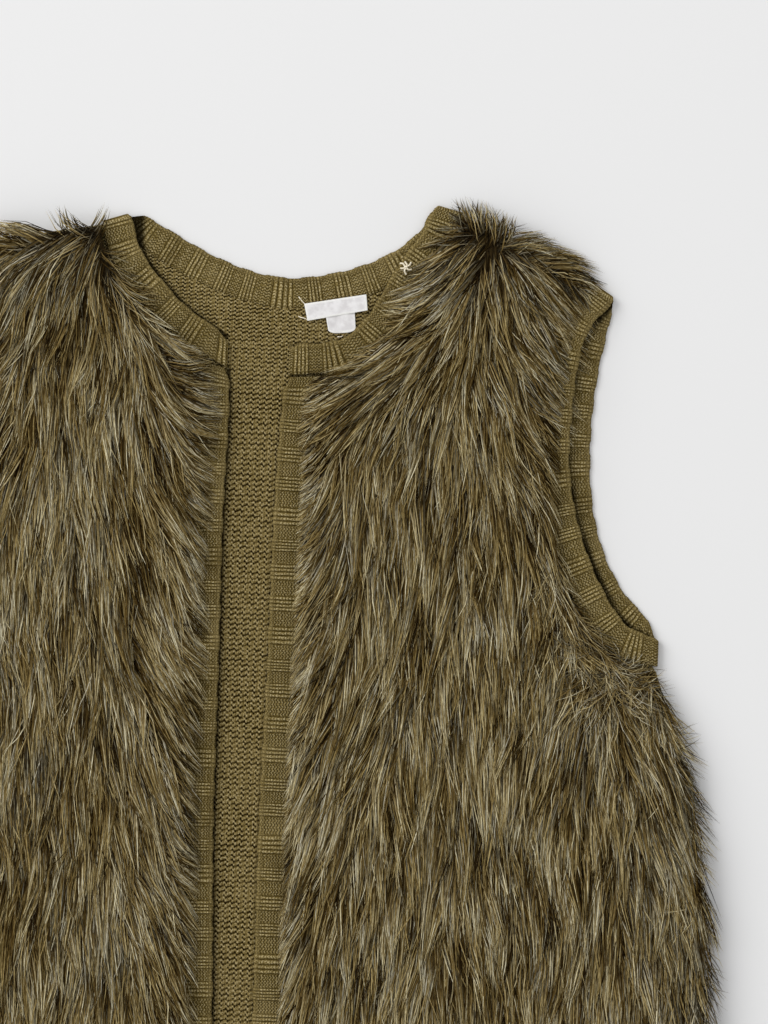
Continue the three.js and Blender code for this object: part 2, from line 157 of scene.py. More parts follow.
class Finish:
    """A material that is built one node at a time."""

    def __init__(self, name, roughness, **fixed):
        self.material = bpy.data.materials.new(name)
        self.material.use_nodes = True
        self.tree = self.material.node_tree
        self.shader = self.tree.nodes["Principled BSDF"]
        self.shader.inputs["Roughness"].default_value = roughness
        for socket, value in fixed.items():
            self.shader.inputs[socket.replace("_", " ")].default_value = value

    def node(self, kind, settings, inputs, output=0):
        made = self.tree.nodes.new(kind)
        for setting, value in settings.items():
            if setting == "stops":
                self.fill_ramp(made.color_ramp, value)
            else:
                setattr(made, setting, value)
        for place, value in inputs.items():
            self.feed(made.inputs[place], value)
        return Signal(self, made.outputs[output])

    def fill_ramp(self, ramp, stops):
        while len(ramp.elements) < len(stops):
            ramp.elements.new(1)
        for element, (position, colour) in zip(ramp.elements, stops):
            element.position = position
            element.color = colour

    def feed(self, socket, value):
        if isinstance(value, Signal):
            self.tree.links.new(value.socket, socket)
        else:
            socket.default_value = value

    def chart(self, name):
        place = self.node("ShaderNodeUVMap", {"uv_map": name}, {})
        across = self.node("ShaderNodeSeparateXYZ", {}, {0: place})
        along = self.node("ShaderNodeSeparateXYZ", {}, {0: place}, 1)
        return across, along

    def noise(self, scale, detail):
        place = self.node("ShaderNodeTexCoord", {}, {}, "Object")
        inputs = {"Vector": place, "Scale": scale, "Detail": detail}
        return self.node("ShaderNodeTexNoise", {}, inputs)

    def blend(self, share, first, second, way="MIX"):
        settings = {"data_type": "RGBA", "blend_type": way}
        return self.node("ShaderNodeMix", settings, {0: share, 6: first, 7: second}, 2)

    def colour(self, value):
        self.feed(self.shader.inputs["Base Color"], value)

    def bump(self, height, depth, strength=1.0):
        inputs = {"Height": height, "Distance": depth, "Strength": strength}
        self.feed(self.shader.inputs["Normal"], self.node("ShaderNodeBump", {}, inputs))


def tint(red, green, blue):
    """An sRGB colour from 0 to 255 as the linear one that nodes take."""
    linear = [
        c / 12.92 if c <= 0.04045 else ((c + 0.055) / 1.055) ** 2.4
        for c in (red / 255, green / 255, blue / 255)
    ]
    return (*linear, 1.0)


# %% [markdown]
# The floor is a plain pale sheet of paper. It isn't part of the vest.

# %% The floor
FLOOR_SIZE = 8
FLOOR_GAP = 0.0003
bpy.ops.mesh.primitive_plane_add(size=FLOOR_SIZE, location=(0, 0, -FLOOR_GAP))
floor = bpy.context.object
floor.name = "floor"
paper = Finish("pale paper", 0.9)
paper.colour(tint(233, 233, 233))
floor.data.materials.append(paper.material)
print("floor in metres:", FLOOR_SIZE)

# %% [markdown]
# The bands and seams follow curves that were measured along the photographed edges. They are those of
# the CAD source, drawn a little rounder at the neck points and the underarms, where worn cloth rolls
# over. Each table is a free edge in millimetres, with x from the middle of the vest and y from the
# front neck corners.

# %% Measured edges
NECK_CORNER_Y = 210.77
HEM_Y = -519
UNDERARM_Y = -165
BAND_WIDTH = 18
BAND_WALL = 1.9
RIB_RAISE = 0.9
RIB_PITCH = 17.7
FRONT_LEVEL = 3.0
FOLD_RADIUS = 1.5
TURN_LENGTH = 22
PANEL_INSET = 18.6
SEAM_INSET = 17.8
KNIT_WALL = 2.6
SHOULDER_ARCH = 2.5
FRONT_EDGE_RIGHT_UP = [
    (13, HEM_Y), (13, -386), (12, -264), (13, -160), (13, -90), (15, -21), (17, 2.6),
]
FRONT_EDGE_LEFT_UP = [
    (-12, HEM_Y), (-12, -387), (-16, -265), (-17, -161), (-18, -79), (-17, -20), (-18, 5.6),
]
NECK_FRONT_RIGHT_UP = [
    (18, 22), (30, 23), (45, 25), (56, 31.5), (67, 45), (77, 64), (88, 82), (97.5, 97), (101, 108),
]
NECK_BACK_LEFTWARD = [
    (101, 108), (98.6, 103), (95, 95.3), (82, 83), (64, 73), (43, 66), (17, 62), (-6, 65), (-31, 74),
    (-56, 87), (-66, 92.5), (-73.5, 96), (-79.5, 95.5),
]
NECK_FRONT_LEFT_DOWN = [
    (-79.5, 95.5), (-78, 86), (-72, 72), (-60, 57), (-46, 43), (-33, 34), (-19, 25),
]
ARMHOLE_FRONT_DOWN = [
    (212, 56), (204, 48), (197, 38), (192, 20), (189, -12), (189, -46), (196, -80), (209, -112),
    (226, -137), (236, -142.5), (245, -144),
]
ARMHOLE_BACK_UP = [
    (245, -144), (239.5, -134), (226, -120), (213, -98), (204, -68), (201, -30), (203, 6), (208, 36),
    (212, 56),
]
SIDE_FOLD_UP = [
    (281, HEM_Y), (283, -430), (284, -360), (283, -318), (279, -285), (272, -250), (265, -218),
    (255, -188), (247.5, UNDERARM_Y - 1),
]
print("measured points on the armhole:", len(ARMHOLE_FRONT_DOWN) + len(ARMHOLE_BACK_UP) - 2)

# %% [markdown]
# A centripetal spline runs through a table's points without loops or overshoot. It is sampled by
# length, so that the stitches stay even, and two more helpers tell where a place lies from it.

# %% Curves through the points
SAMPLES_A_SPAN = 60
HEADING_STEP = 0.002


def smooth(value):
    value = np.clip(value, 0, 1)
    return value * value * (3 - 2 * value)


class Edge:
    """A smooth curve through measured points, walked by its length."""

    def __init__(self, table):
        points = np.array(table, float)
        ends = [2 * points[0] - points[1], *points, 2 * points[-1] - points[-2]]
        pieces = [self.span(ends[i : i + 4]) for i in range(len(points) - 1)]
        self.line = np.vstack([*pieces, points[-1:]])
        steps = np.linalg.norm(np.diff(self.line, axis=0), axis=1)
        self.walked = np.concatenate([[0], np.cumsum(steps)])
        self.length = self.walked[-1]

    def span(self, corners):
        before, first, second, after = corners
        gaps = [np.linalg.norm(b - a) ** 0.5 for a, b in zip(corners, corners[1:])]
        leave = (first - before) / gaps[0] - (second - before) / (gaps[0] + gaps[1])
        leave = (leave + (second - first) / gaps[1]) * gaps[1]
        reach = (second - first) / gaps[1] - (after - first) / (gaps[1] + gaps[2])
        reach = (reach + (after - second) / gaps[2]) * gaps[1]
        t = np.linspace(0, 1, SAMPLES_A_SPAN, endpoint=False)[:, None]
        bend = -3 * first + 3 * second - 2 * leave - reach
        twist = 2 * first - 2 * second + leave + reach
        return first + leave * t + bend * t**2 + twist * t**3

    def at(self, share):
        walked = np.asarray(share) * self.length
        x = np.interp(walked, self.walked, self.line[:, 0])
        y = np.interp(walked, self.walked, self.line[:, 1])
        return np.stack([x, y], axis=-1)

    def heading(self, share):
        share = np.asarray(share)
        ahead = self.at(np.minimum(share + HEADING_STEP, 1))
        way = ahead - self.at(np.maximum(share - HEADING_STEP, 0))
        return way / np.linalg.norm(way, axis=-1, keepdims=True)


def is_inside(points, outline):
    """Which points lie inside a closed outline, by counting the edges on one side."""
    inside = np.zeros(len(points), bool)
    for (x0, y0), (x1, y1) in zip(outline, np.roll(outline, -1, axis=0)):
        if y0 == y1:
            continue
        crosses = (y0 > points[:, 1]) != (y1 > points[:, 1])
        inside ^= crosses & (points[:, 0] < (x1 - x0) * (points[:, 1] - y0) / (y1 - y0) + x0)
    return inside


def distance_to(points, line):
    """The distance from each point to an open line, and the nearest place along its corners."""
    best = np.full(len(points), 1e9)
    place = np.zeros(len(points))
    for i, (start, end) in enumerate(zip(line, line[1:])):
        way = end - start
        share = np.clip((points - start) @ way / max(way @ way, 1e-9), 0, 1)
        gap = np.linalg.norm(points - start - share[:, None] * way, axis=1)
        nearer = gap < best
        best[nearer] = gap[nearer]
        place[nearer] = (i + share)[nearer]
    return best, place


# %% [markdown]
# A band is a strip of rib knit, 18 mm wide, whose free edge is the measured curve. It lies in two layers: the
# front one on top, the back one below, and it rolls over where they meet at the neck points, shoulder tips
# and underarms. Each stretch knows in which layer it lies and which way its free edge points. Where a free
# edge curls up off the layer below it has a lift, and the cloth under it gets painted shade: a table gives
# how wide that painted shade looks, in millimetres, at shares of the length.


# %% Stretches of band
class Stretch(Edge):
    """One stretch of a band in one layer, with the way to its free edge at both ends."""

    def __init__(self, table, is_front, start, end, lift=0.0, painted_shade_widths=((0, 1), (0.3, 0.3))):
        super().__init__(table)
        self.is_front = is_front
        self.lift = lift
        self.painted_shade_widths = painted_shade_widths
        self.start = np.array(start, float)
        self.end = np.array(end, float)

    def across(self, share):
        way = self.heading(share)
        turn = 1 if self.is_front else -1
        across = np.stack([-way[..., 1] * turn, way[..., 0] * turn], axis=-1)
        share = np.asarray(share, float)[..., None]
        near_start = 1 - smooth(share * self.length / TURN_LENGTH)
        near_end = 1 - smooth((1 - share) * self.length / TURN_LENGTH)
        across = across + (self.start - across) * near_start
        across = across + (self.end - across) * near_end
        return across / np.linalg.norm(across, axis=-1, keepdims=True)

    def beside(self, distance, count, start=0.0, end=1.0):
        shares = np.linspace(start, end, count + 1)
        return self.at(shares) - self.across(shares) * distance


AT_RIGHT_NECK = (-0.97, 0.24)
AT_LEFT_NECK = (0.95, 0.31)
AT_SHOULDER_TIP = (0.84, -0.54)
UPWARD = (0, 1)
neck_front_right = Stretch(NECK_FRONT_RIGHT_UP, True, UPWARD, AT_RIGHT_NECK)
neck_back = Stretch(NECK_BACK_LEFTWARD, False, AT_RIGHT_NECK, AT_LEFT_NECK)
neck_front_left = Stretch(
    NECK_FRONT_LEFT_DOWN, True, AT_LEFT_NECK, UPWARD, 3.0,
    ((0, 0.09, 0.18, 0.28, 1), (5.5, 5.0, 2.4, 0.8, 0.5)),
)
armhole_front = Stretch(
    ARMHOLE_FRONT_DOWN, True, AT_SHOULDER_TIP, UPWARD, 3.0,
    ((0, 0.05, 0.12, 0.2, 0.5, 0.75, 0.93, 1), (0.8, 2.2, 1.6, 0.4, 0.4, 1.8, 1.3, 0.2)),
)
armhole_back = Stretch(ARMHOLE_BACK_UP, False, UPWARD, AT_SHOULDER_TIP)
front_right = Stretch(FRONT_EDGE_RIGHT_UP, True, (-1, 0), (-0.997, -0.07))
front_left = Stretch(FRONT_EDGE_LEFT_UP[::-1], True, (0.96, -0.27), (1, 0), 1.6, ((0, 1), (0.5, 0.5)))
print("neck band in mm:", round(neck_front_right.length + neck_back.length + neck_front_left.length))
print("armhole band in mm:", round(armhole_front.length + armhole_back.length))

# %% [markdown]
# Rib knit is made of columns of stitches that run across the band. Four columns stand up as a rib,
# then four sink back, over a repeat of 17.7 mm. The ribs and their columns are real relief here,
# swept along the stretch, while the single stitches are left to the finish: they are a pixel or two
# wide in the picture.

# %% Sweeping rib knit
COLUMNS = 8
RIB_COLUMNS = 4
RIB_START = 0.15
RIB_END = RIB_START + RIB_COLUMNS / COLUMNS
STEPS_A_REPEAT = 24
ROW_PITCH = 1.8
ROLL_WIDTH = 2.9
CAST_OFF_ROW = (BAND_WIDTH - ROLL_WIDTH) / ROW_PITCH
ROUND_LENGTH = 8.0
FOLD_STEPS = 9
FOLD_TUCK = 1.3


def rib_height(phase):
    """How high the knit stands at a place in the repeat, from 0 to 1."""
    stands = smooth((phase - RIB_START + 0.05) / 0.06) * (1 - smooth((phase - RIB_END + 0.01) / 0.06))
    column = np.abs(np.sin(np.pi * COLUMNS * (phase - RIB_START)))
    return stands * (0.55 + 0.45 * column**0.7) + (1 - stands) * 0.12 * column


def uneven_pitch(shares, length):
    """A slow wander of the ribs along a stretch, none at its ends, in repeats."""
    walked = shares * length
    wander = 0.09 * np.sin(walked / 11.0) + 0.06 * np.sin(walked / 6.1 + length)
    return wander * np.sin(np.pi * shares) ** 0.5


def stretch_stations(stretch, tuck_start, tuck_end):
    """Stations along a stretch. The tucks draw its free edge in at the two ends, in millimetres."""
    ribs = round(stretch.length / RIB_PITCH)
    shares = np.linspace(0, 1, ribs * STEPS_A_REPEAT + 1)
    level = BAND_WALL / 2 + (FRONT_LEVEL if stretch.is_front else 0)
    repeats = shares * ribs + uneven_pitch(shares, stretch.length)
    height = rib_height(repeats % 1) * smooth(np.minimum(shares, 1 - shares) * ribs * 4)
    return {
        "edge": np.column_stack([stretch.at(shares), np.full(len(shares), level)]),
        "across": np.column_stack([stretch.across(shares), np.zeros(len(shares))]),
        "outward": np.tile([0.0, 0.0, 1.0 if stretch.is_front else -1.0], (len(shares), 1)),
        "outer": height * stretch.is_front,
        "inner": height * (not stretch.is_front),
        "tuck": tuck_start * (1 - smooth(shares * stretch.length / ROUND_LENGTH))
        + tuck_end * (1 - smooth((1 - shares) * stretch.length / ROUND_LENGTH)),
        "lift": stretch.lift * smooth(np.minimum(shares, 1 - shares) * stretch.length / TURN_LENGTH),
        "columns": repeats * COLUMNS,
    }


def fold_stations(place, across, from_front, tuck):
    """Stations round a fold from one layer to the other, drawn in most at its outermost place."""
    turn = np.linspace(0, 1, FOLD_STEPS)[1:-1]
    angle = math.pi * (1 - turn if from_front else turn)
    across = np.array([*across, 0.0]) / np.linalg.norm(across)
    away = np.cross(across, [0, 0, 1]) * (1 if from_front else -1)
    edge = np.tile([*place, 0.0], (len(turn), 1))
    edge[:, 2] = BAND_WALL / 2 + FOLD_RADIUS * (1 - np.cos(angle))
    return {
        "edge": edge + away * (FOLD_RADIUS * np.sin(angle))[:, None],
        "across": np.tile(across, (len(turn), 1)),
        "outward": away * np.sin(angle)[:, None] - np.array([0, 0, 1]) * np.cos(angle)[:, None],
        "outer": np.zeros(len(turn)),
        "inner": np.zeros(len(turn)),
        "tuck": tuck + FOLD_TUCK * np.sin(angle),
        "lift": np.zeros(len(turn)),
        "columns": turn * 2,
    }


def link(parts):
    """Joins stations of stretches and folds, with the column count running on."""
    count = 0.0
    for part in parts:
        part["columns"] = part["columns"] + count
        count = part["columns"][-1]
    return {key: np.concatenate([part[key] for part in parts]) for key in parts[0]}


# %% [markdown]
# The section of a band is square where it is sewn on and round at the free edge. The rib stands out
# on the face that is up: the outer face in the front layer, the inner one in the back layer, whose
# inside shows. The free edge bulges a little at each rib. A strip that curves, rolls over and carries
# ribs all at once is more than extrude and bevel steps can give, so its points are worked out here
# and the mesh is made from them.

# %% The section of a band
FACE_WIDTHS = np.array([1.3, 3.0, 5.5, 8.0, 10.5, 13.0, 15.5, 18.0])
EDGE_DEPTH = 9


def band_places(stations):
    """Points round the section at each station, and the width of each for the stitch chart."""
    half = BAND_WALL / 2
    swell = 0.75 + 0.25 * np.sin(np.pi * FACE_WIDTHS / BAND_WIDTH)
    bulge = (stations["outer"] + stations["inner"]) * 0.7
    ring = [(width, "inner", full) for width, full in zip(FACE_WIDTHS[::-1], swell[::-1])]
    ring += [(0.25, None, -0.7), (-0.1, None, 0.0), (0.25, None, 0.7)]
    ring += [(width, "outer", full) for width, full in zip(FACE_WIDTHS, swell)]
    places = []
    for width, face, full in ring:
        if face:
            side = 1 if face == "outer" else -1
            level = side * (half + stations[face] * RIB_RAISE * full)
        else:
            level = np.full(len(bulge), full * half)
        reach = (bulge - stations["tuck"]) * max(0, 1 - width / EDGE_DEPTH) - width
        place = stations["edge"] + stations["across"] * reach[:, None]
        place = place + stations["outward"] * level[:, None]
        place[:, 2] += stations["lift"] * smooth(1 - width / BAND_WIDTH)
        places.append(place)
    return np.stack(places, axis=1), np.array([width for width, _, _ in ring])


def to_frame(places):
    """Garment millimetres to metres in the CAD frame."""
    return (places + np.array([0, NECK_CORNER_Y, 0])) * MM


# %% [markdown]
# A strip's points become a mesh with two UV maps. One counts its columns and rows of stitches, for the
# finish. The other holds the shade painted under a free edge that curls up over it, because a wide soft lamp
# doesn't darken so thin a gap by itself.

# %% Bands as meshes
COVER_SAMPLES = 140
COVER_END = 0.985


def shade_under(cover, places):
    """How deep in the shade of a free edge the cloth below lies, from 0 to 1."""
    flat = places.reshape(-1, 2)
    share = np.linspace(0.0, COVER_END, COVER_SAMPLES)
    gap, place = distance_to(flat, cover.at(share))
    depth = np.interp(place / (COVER_SAMPLES - 1), *cover.painted_shade_widths)
    return (1 - smooth((gap - depth) / (1.6 + 0.4 * depth))).reshape(places.shape[:-1])


def mesh_from_grid(name, places, chart_u, chart_v, hollow, is_loop):
    """A closed strip from a grid of points, with charts of its stitches and of the shade painted under free
    edges.
    """
    count, around = places.shape[:2]
    spans = count if is_loop else count - 1
    i, j = (a.ravel() for a in np.meshgrid(np.arange(spans), np.arange(around), indexing="ij"))
    after, beside = (i + 1) % count, (j + 1) % around
    corners = np.stack([i * around + j, i * around + beside, after * around + beside, after * around + j], 1)
    faces = corners.tolist()
    u = np.append(chart_u, 2 * chart_u[-1] - chart_u[-2])
    near, far = u[i], u[i + 1]
    low, high = chart_v[j], chart_v[beside]
    charts = np.stack([near, low, near, high, far, high, far, low], axis=1).reshape(-1, 2)
    shades = hollow.ravel()[corners].ravel()
    if not is_loop:
        faces.append(list(range(around))[::-1])
        faces.append(list(range((count - 1) * around, count * around)))
        charts = np.vstack([charts, np.zeros((2 * around, 2))])
        shades = np.append(shades, np.zeros(2 * around))
    mesh = bpy.data.meshes.new(name)
    mesh.from_pydata(to_frame(places.reshape(-1, 3)).tolist(), [], faces)
    mesh.uv_layers.new(name="stitches").data.foreach_set("uv", charts.ravel())
    shades = np.column_stack([shades, np.zeros(len(shades))])
    mesh.uv_layers.new(name="hollow").data.foreach_set("uv", shades.ravel())
    mesh.shade_smooth()
    return mesh


# %% [markdown]
# Every piece gets its finish and rides on the vest's one body, and the CAD nodes it stands for are hidden.


# %% Adding pieces
def dress(piece, finish, slot, *nodes):
    """Gives a piece its finish and its body, and hides the nodes it stands for. The slot is not used."""
    piece.data.materials.append(finish.material)
    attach(piece, "root")
    if nodes:
        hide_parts(*nodes)


def add_piece(name, mesh, finish, slot, *nodes):
    """Puts a mesh in the scene as a dressed piece."""
    piece = bpy.data.objects.new(name, mesh)
    bpy.context.collection.objects.link(piece)
    dress(piece, finish, slot, *nodes)
    return piece


def turn_out(piece):
    """Makes a closed piece's faces point outwards."""
    bpy.ops.object.select_all(action="DESELECT")
    piece.select_set(True)
    bpy.context.view_layer.objects.active = piece
    bpy.ops.object.mode_set(mode="EDIT")
    bpy.ops.mesh.select_all(action="SELECT")
    bpy.ops.mesh.normals_make_consistent(inside=False)
    bpy.ops.object.mode_set(mode="OBJECT")
    piece.select_set(False)


# %% [markdown]
# Wool yarn has no shine. Each stitch's colour runs from painted shade in the hollow next to it to a painted
# highlight on its top. On the ribs, knit stitches lie as small chevrons in columns. In the hollows between
# ribs, the purl side shows as short arcs across, with painted shade over it, and the groove behind the rolled
# free edge gets painted shade too. The free edge is a smooth roll where the stitches were cast off. All of it
# is read from the stitch chart, so it follows each curve of the band.

# %% Rib knit finish
rib_knit = Finish("rib knit", 0.95, Specular_IOR_Level=0.02)
column, row = rib_knit.chart("stitches")
hollow, _ = rib_knit.chart("hollow")
place_in_repeat = (column / COLUMNS).part()
on_rib = place_in_repeat.between(RIB_START - 0.04, RIB_START + 0.01)
on_rib = on_rib * (1 - place_in_repeat.between(RIB_END - 0.01, RIB_END + 0.04))
slip = (rib_knit.noise(300, 1) - 0.5) * 0.7
from_middle = abs((column + slip * 0.4 - COLUMNS * RIB_START).part() - 0.5) * 2
chevron = abs((row + slip + from_middle * 0.6).part() - 0.5) * 2
leg = (1 - from_middle**2.8) * (1 - 0.4 * chevron**2.5)
arc_wave = (column - COLUMNS * RIB_START).wave()
arc = abs((row + slip * 1.2 + 0.24 * arc_wave).part() - 0.5) * 2
purl = (1 - 0.8 * arc**2.6) * (0.76 + 0.24 * abs(arc_wave))
stitch = on_rib * leg + (1 - on_rib) * purl
fuzz = rib_knit.noise(1200, 3)
worn = rib_knit.noise(45, 3)
# Painted shade in the hollows between stitches, then a painted highlight on the yarn tops.
depth = (stitch * 0.8 + fuzz * 1.2 - 0.52).between(-0.1, 1.0)
shade = rib_knit.blend(depth, tint(60, 46, 12), tint(134, 116, 66))
shade = rib_knit.blend((stitch * fuzz - 0.34).between(0.0, 0.3), shade, tint(200, 184, 140))
# Painted shade over the purl hollows between the ribs.
shade = rib_knit.blend((1 - on_rib) * 0.32, shade, tint(84, 69, 28))
rolled = row.between(CAST_OFF_ROW - 0.1, CAST_OFF_ROW + 0.2)
groove = rolled * (1 - row.between(CAST_OFF_ROW + 0.2, CAST_OFF_ROW + 0.5))
smooth_shade = rib_knit.blend(fuzz.between(0.3, 0.7), tint(104, 88, 46), tint(150, 133, 88))
shade = rib_knit.blend(rolled * 0.75, shade, smooth_shade)
# Painted shade in the groove behind the rolled free edge.
shade = rib_knit.blend(groove * 0.5, shade, tint(70, 55, 18))
shade = rib_knit.blend(worn.between(0.52, 0.75) * 0.3, shade, tint(158, 140, 94))
shade = rib_knit.blend((1 - worn.between(0.25, 0.48)) * 0.4, shade, tint(70, 56, 22))
# Painted shade on the lower layer under a curled-up free edge.
rib_knit.colour(rib_knit.blend(hollow * 0.92, shade, tint(14, 9, 1)))
rib_knit.bump(stitch + fuzz * 0.7, 0.001, 1.0)

# %% [markdown]
# With the sweep and the finish ready, the five bands are made: the neck band in one strip over both
# shoulders, a loop for each armhole, and a short strip down each front edge.

# %% The bands
neck_stations = link([
    stretch_stations(neck_front_right, 2.3, 0.8),
    fold_stations(NECK_FRONT_RIGHT_UP[-1], AT_RIGHT_NECK, True, 0.8),
    stretch_stations(neck_back, 0.8, 0.8),
    fold_stations(NECK_BACK_LEFTWARD[-1], AT_LEFT_NECK, False, 0.8),
    stretch_stations(neck_front_left, 0.8, 2.3),
])
armhole_stations = link([
    stretch_stations(armhole_front, 0.6, 1.0),
    fold_stations(ARMHOLE_FRONT_DOWN[-1], UPWARD, True, 1.0),
    stretch_stations(armhole_back, 1.0, 0.6),
    fold_stations(ARMHOLE_BACK_UP[-1], AT_SHOULDER_TIP, False, 0.6),
])


def make_band(name, node, stations, cover=None, is_loop=False, is_mirrored=False):
    """Makes a band. The cover is the stretch whose free edge lies over this band's lower layer."""
    places, widths = band_places(stations)
    hollow = np.zeros(places.shape[:2])
    # Painted shade on the lower layer, under the cover's free edge.
    if cover:
        hollow = shade_under(cover, places[..., :2]) * (places[..., 2] < FRONT_LEVEL)
    if is_mirrored:
        places = places * np.array([-1, 1, 1])
    rows = (BAND_WIDTH - widths) / ROW_PITCH
    mesh = mesh_from_grid(name, places, stations["columns"], rows, hollow, is_loop)
    band = add_piece(name, mesh, rib_knit, "rib", node)
    turn_out(band)
    print(name, "has", len(mesh.polygons), "faces")
    return band


neck_band = make_band("neck_rib", "neck_band", neck_stations, neck_front_left)
armhole_right = make_band("armhole_rib_right", "armhole_band_right", armhole_stations, armhole_front, True)
armhole_left = make_band(
    "armhole_rib_left", "armhole_band_left", armhole_stations, armhole_front, True, True
)
right_stations = stretch_stations(front_right, 2.3, 2.3)
left_stations = stretch_stations(front_left, 2.3, 2.3)
front_band_right = make_band("front_rib_right", "front_band_right", right_stations)
front_band_left = make_band("front_rib_left", "front_band_left", left_stations)

# %% [markdown]
# The back is one flat wall of knit. Where its inside shows, between the fronts and round the neck, the
# purl side is modelled stitch by stitch: a yarn runs across in waves and comes up at each crest and
# trough, which gives rows of small bumps in brick order. That needs a point every 0.8 mm, so a
# constrained triangulation packs points closely there and leaves the hidden part wide open.


# %% The back's outline
def shoulder_line(start, end, count):
    share = np.linspace(0, 1, count + 1)[:, None]
    points = start + (end - start) * share
    points[:, 1] += (SHOULDER_ARCH * np.sin(np.pi * share))[:, 0]
    return points


def mirrored(points):
    return points * np.array([-1, 1])


def area_within(outline):
    x, y = outline.T
    return abs(np.sum(x * np.roll(y, -1) - y * np.roll(x, -1))) / 2


side_fold = Edge(SIDE_FOLD_UP)
side_seam = side_fold.at(np.linspace(0, 1, 25)) - np.array([0.6, 0])
arm_seam = armhole_back.beside(SEAM_INSET, 26, 0.02, 1)
neck_seam = neck_back.beside(SEAM_INSET, 30)
tip = arm_seam[-1]
back_outline = np.vstack([
    side_seam,
    arm_seam,
    shoulder_line(neck_seam[0], tip, 6)[1:-1][::-1],
    neck_seam,
    shoulder_line(neck_seam[-1], mirrored(tip), 6)[1:-1],
    mirrored(arm_seam)[::-1],
    mirrored(side_seam)[::-1],
])

# %% The back's purl stitches
PURL_COLUMN = 4.0
PURL_ROW = 3.1
PURL_RISE = 0.9
WAVE_SHARE = 0.24
SLANT = 0.13
CURL_START = 25
WIDE_STEP = 14.0
HIDDEN_DROP = 0.4


def purl_rows(y):
    """The row number at a height. Rows crowd together towards the neck, where the back curls up."""
    near_neck = np.maximum(y + CURL_START, 0)
    return (y - HEM_Y) / PURL_ROW + near_neck**2 * 0.0008


def purl_height(x, y):
    """The relief of the purl side, from 0 in the holes to 1 on the yarn."""
    wave = np.cos(2 * np.pi * x / PURL_COLUMN)
    wave = np.cos(2 * np.pi * (x / PURL_COLUMN - SLANT * wave))
    middle = (purl_rows(y) - WAVE_SHARE * wave) % 1 - 0.5
    gap = (2 * middle) ** 2 * (0.15 + 0.85 * wave**4)
    return (1 - gap) * (0.8 + 0.2 * np.abs(wave))


showing = np.vstack([
    front_right.beside(4, 30),
    neck_front_right.beside(3, 30),
    neck_front_right.at([1.0]) + [[14, 6]],
    neck_front_left.at([0.0]) + [[-14, 6]],
    neck_front_left.beside(3, 30),
    front_left.beside(4, 30),
])
across, up = np.meshgrid(np.arange(-110, 120, PURL_COLUMN / 5), np.arange(HEM_Y + 1, 110, PURL_ROW / 4))
fine = np.column_stack([across.ravel(), up.ravel()])
fine = fine[is_inside(fine, showing)]
fine = fine[is_inside(fine, back_outline)]
across, up = np.meshgrid(np.arange(-280, 281, WIDE_STEP), np.arange(HEM_Y + 7, 90, WIDE_STEP))
wide = np.column_stack([across.ravel(), up.ravel()])
wide = wide[is_inside(wide, back_outline) & ~is_inside(wide, showing)]
closed = np.vstack([back_outline, back_outline[:1]])
fine = fine[distance_to(fine, closed)[0] > 0.5]
wide = wide[distance_to(wide, closed)[0] > 3]
print("points in the back:", len(fine), "close and", len(wide), "wide")

# %% [markdown]
# The triangulated top gets its relief, a straight wall round it and one flat face below. The stitch chart
# counts columns and rows, as on the bands, and the shade painted under the front edges goes in the second
# chart.

# %% The back
ring = len(back_outline)
points = np.vstack([back_outline, fine, wide])
ring_edges = [(i, (i + 1) % ring) for i in range(ring)]
corners = [Vector(point) for point in points]
flat, _, faces, sources, _, _ = delaunay_2d_cdt(corners, ring_edges, [], 1, 1e-4)
flat = np.array([[p.x, p.y] for p in flat])
is_fine = is_inside(flat, showing)
level = np.where(is_fine, KNIT_WALL - PURL_RISE * (1 - purl_height(*flat.T)), KNIT_WALL - HIDDEN_DROP)
top = np.column_stack([flat, level])
rim = [next(i for i, origin in enumerate(sources) if k in origin) for k in range(ring)]
under = np.column_stack([flat[rim], np.zeros(ring)])
first = len(top)
walls = [
    (rim[k], first + k, first + (k + 1) % ring, rim[(k + 1) % ring]) for k in range(ring)
]
bottom = [tuple(range(first + ring - 1, first - 1, -1))]
mesh = bpy.data.meshes.new("back_knit")
mesh.from_pydata(to_frame(np.vstack([top, under])).tolist(), [], [*faces, *walls, *bottom])
chart = mesh.uv_layers.new(name="stitches")
spots = np.zeros(len(mesh.loops), np.int32)
mesh.loops.foreach_get("vertex_index", spots)
everywhere = np.vstack([flat, flat[rim]])[spots]
stitch_chart = np.column_stack([everywhere[:, 0] / PURL_COLUMN, purl_rows(everywhere[:, 1])])
chart.data.foreach_set("uv", stitch_chart.ravel())
# Painted shade on the back under the fronts' free edges, weaker under the right front.
covers = [shade_under(stretch, flat) for stretch in (front_left, neck_front_left)]
covers += [shade_under(stretch, flat) * 0.45 for stretch in (front_right, neck_front_right)]
hollow = np.append(np.max(covers, axis=0), np.zeros(ring))[spots]
shades = np.column_stack([hollow, np.zeros(len(hollow))])
mesh.uv_layers.new(name="hollow").data.foreach_set("uv", shades.ravel())
mesh.shade_smooth()
print("back faces:", len(mesh.polygons))

# %% [markdown]
# The back's finish repeats the waves of the relief, so that colour and relief agree: painted shade in the
# holes, a painted highlight on the yarn, with fine wool fuzz over both.

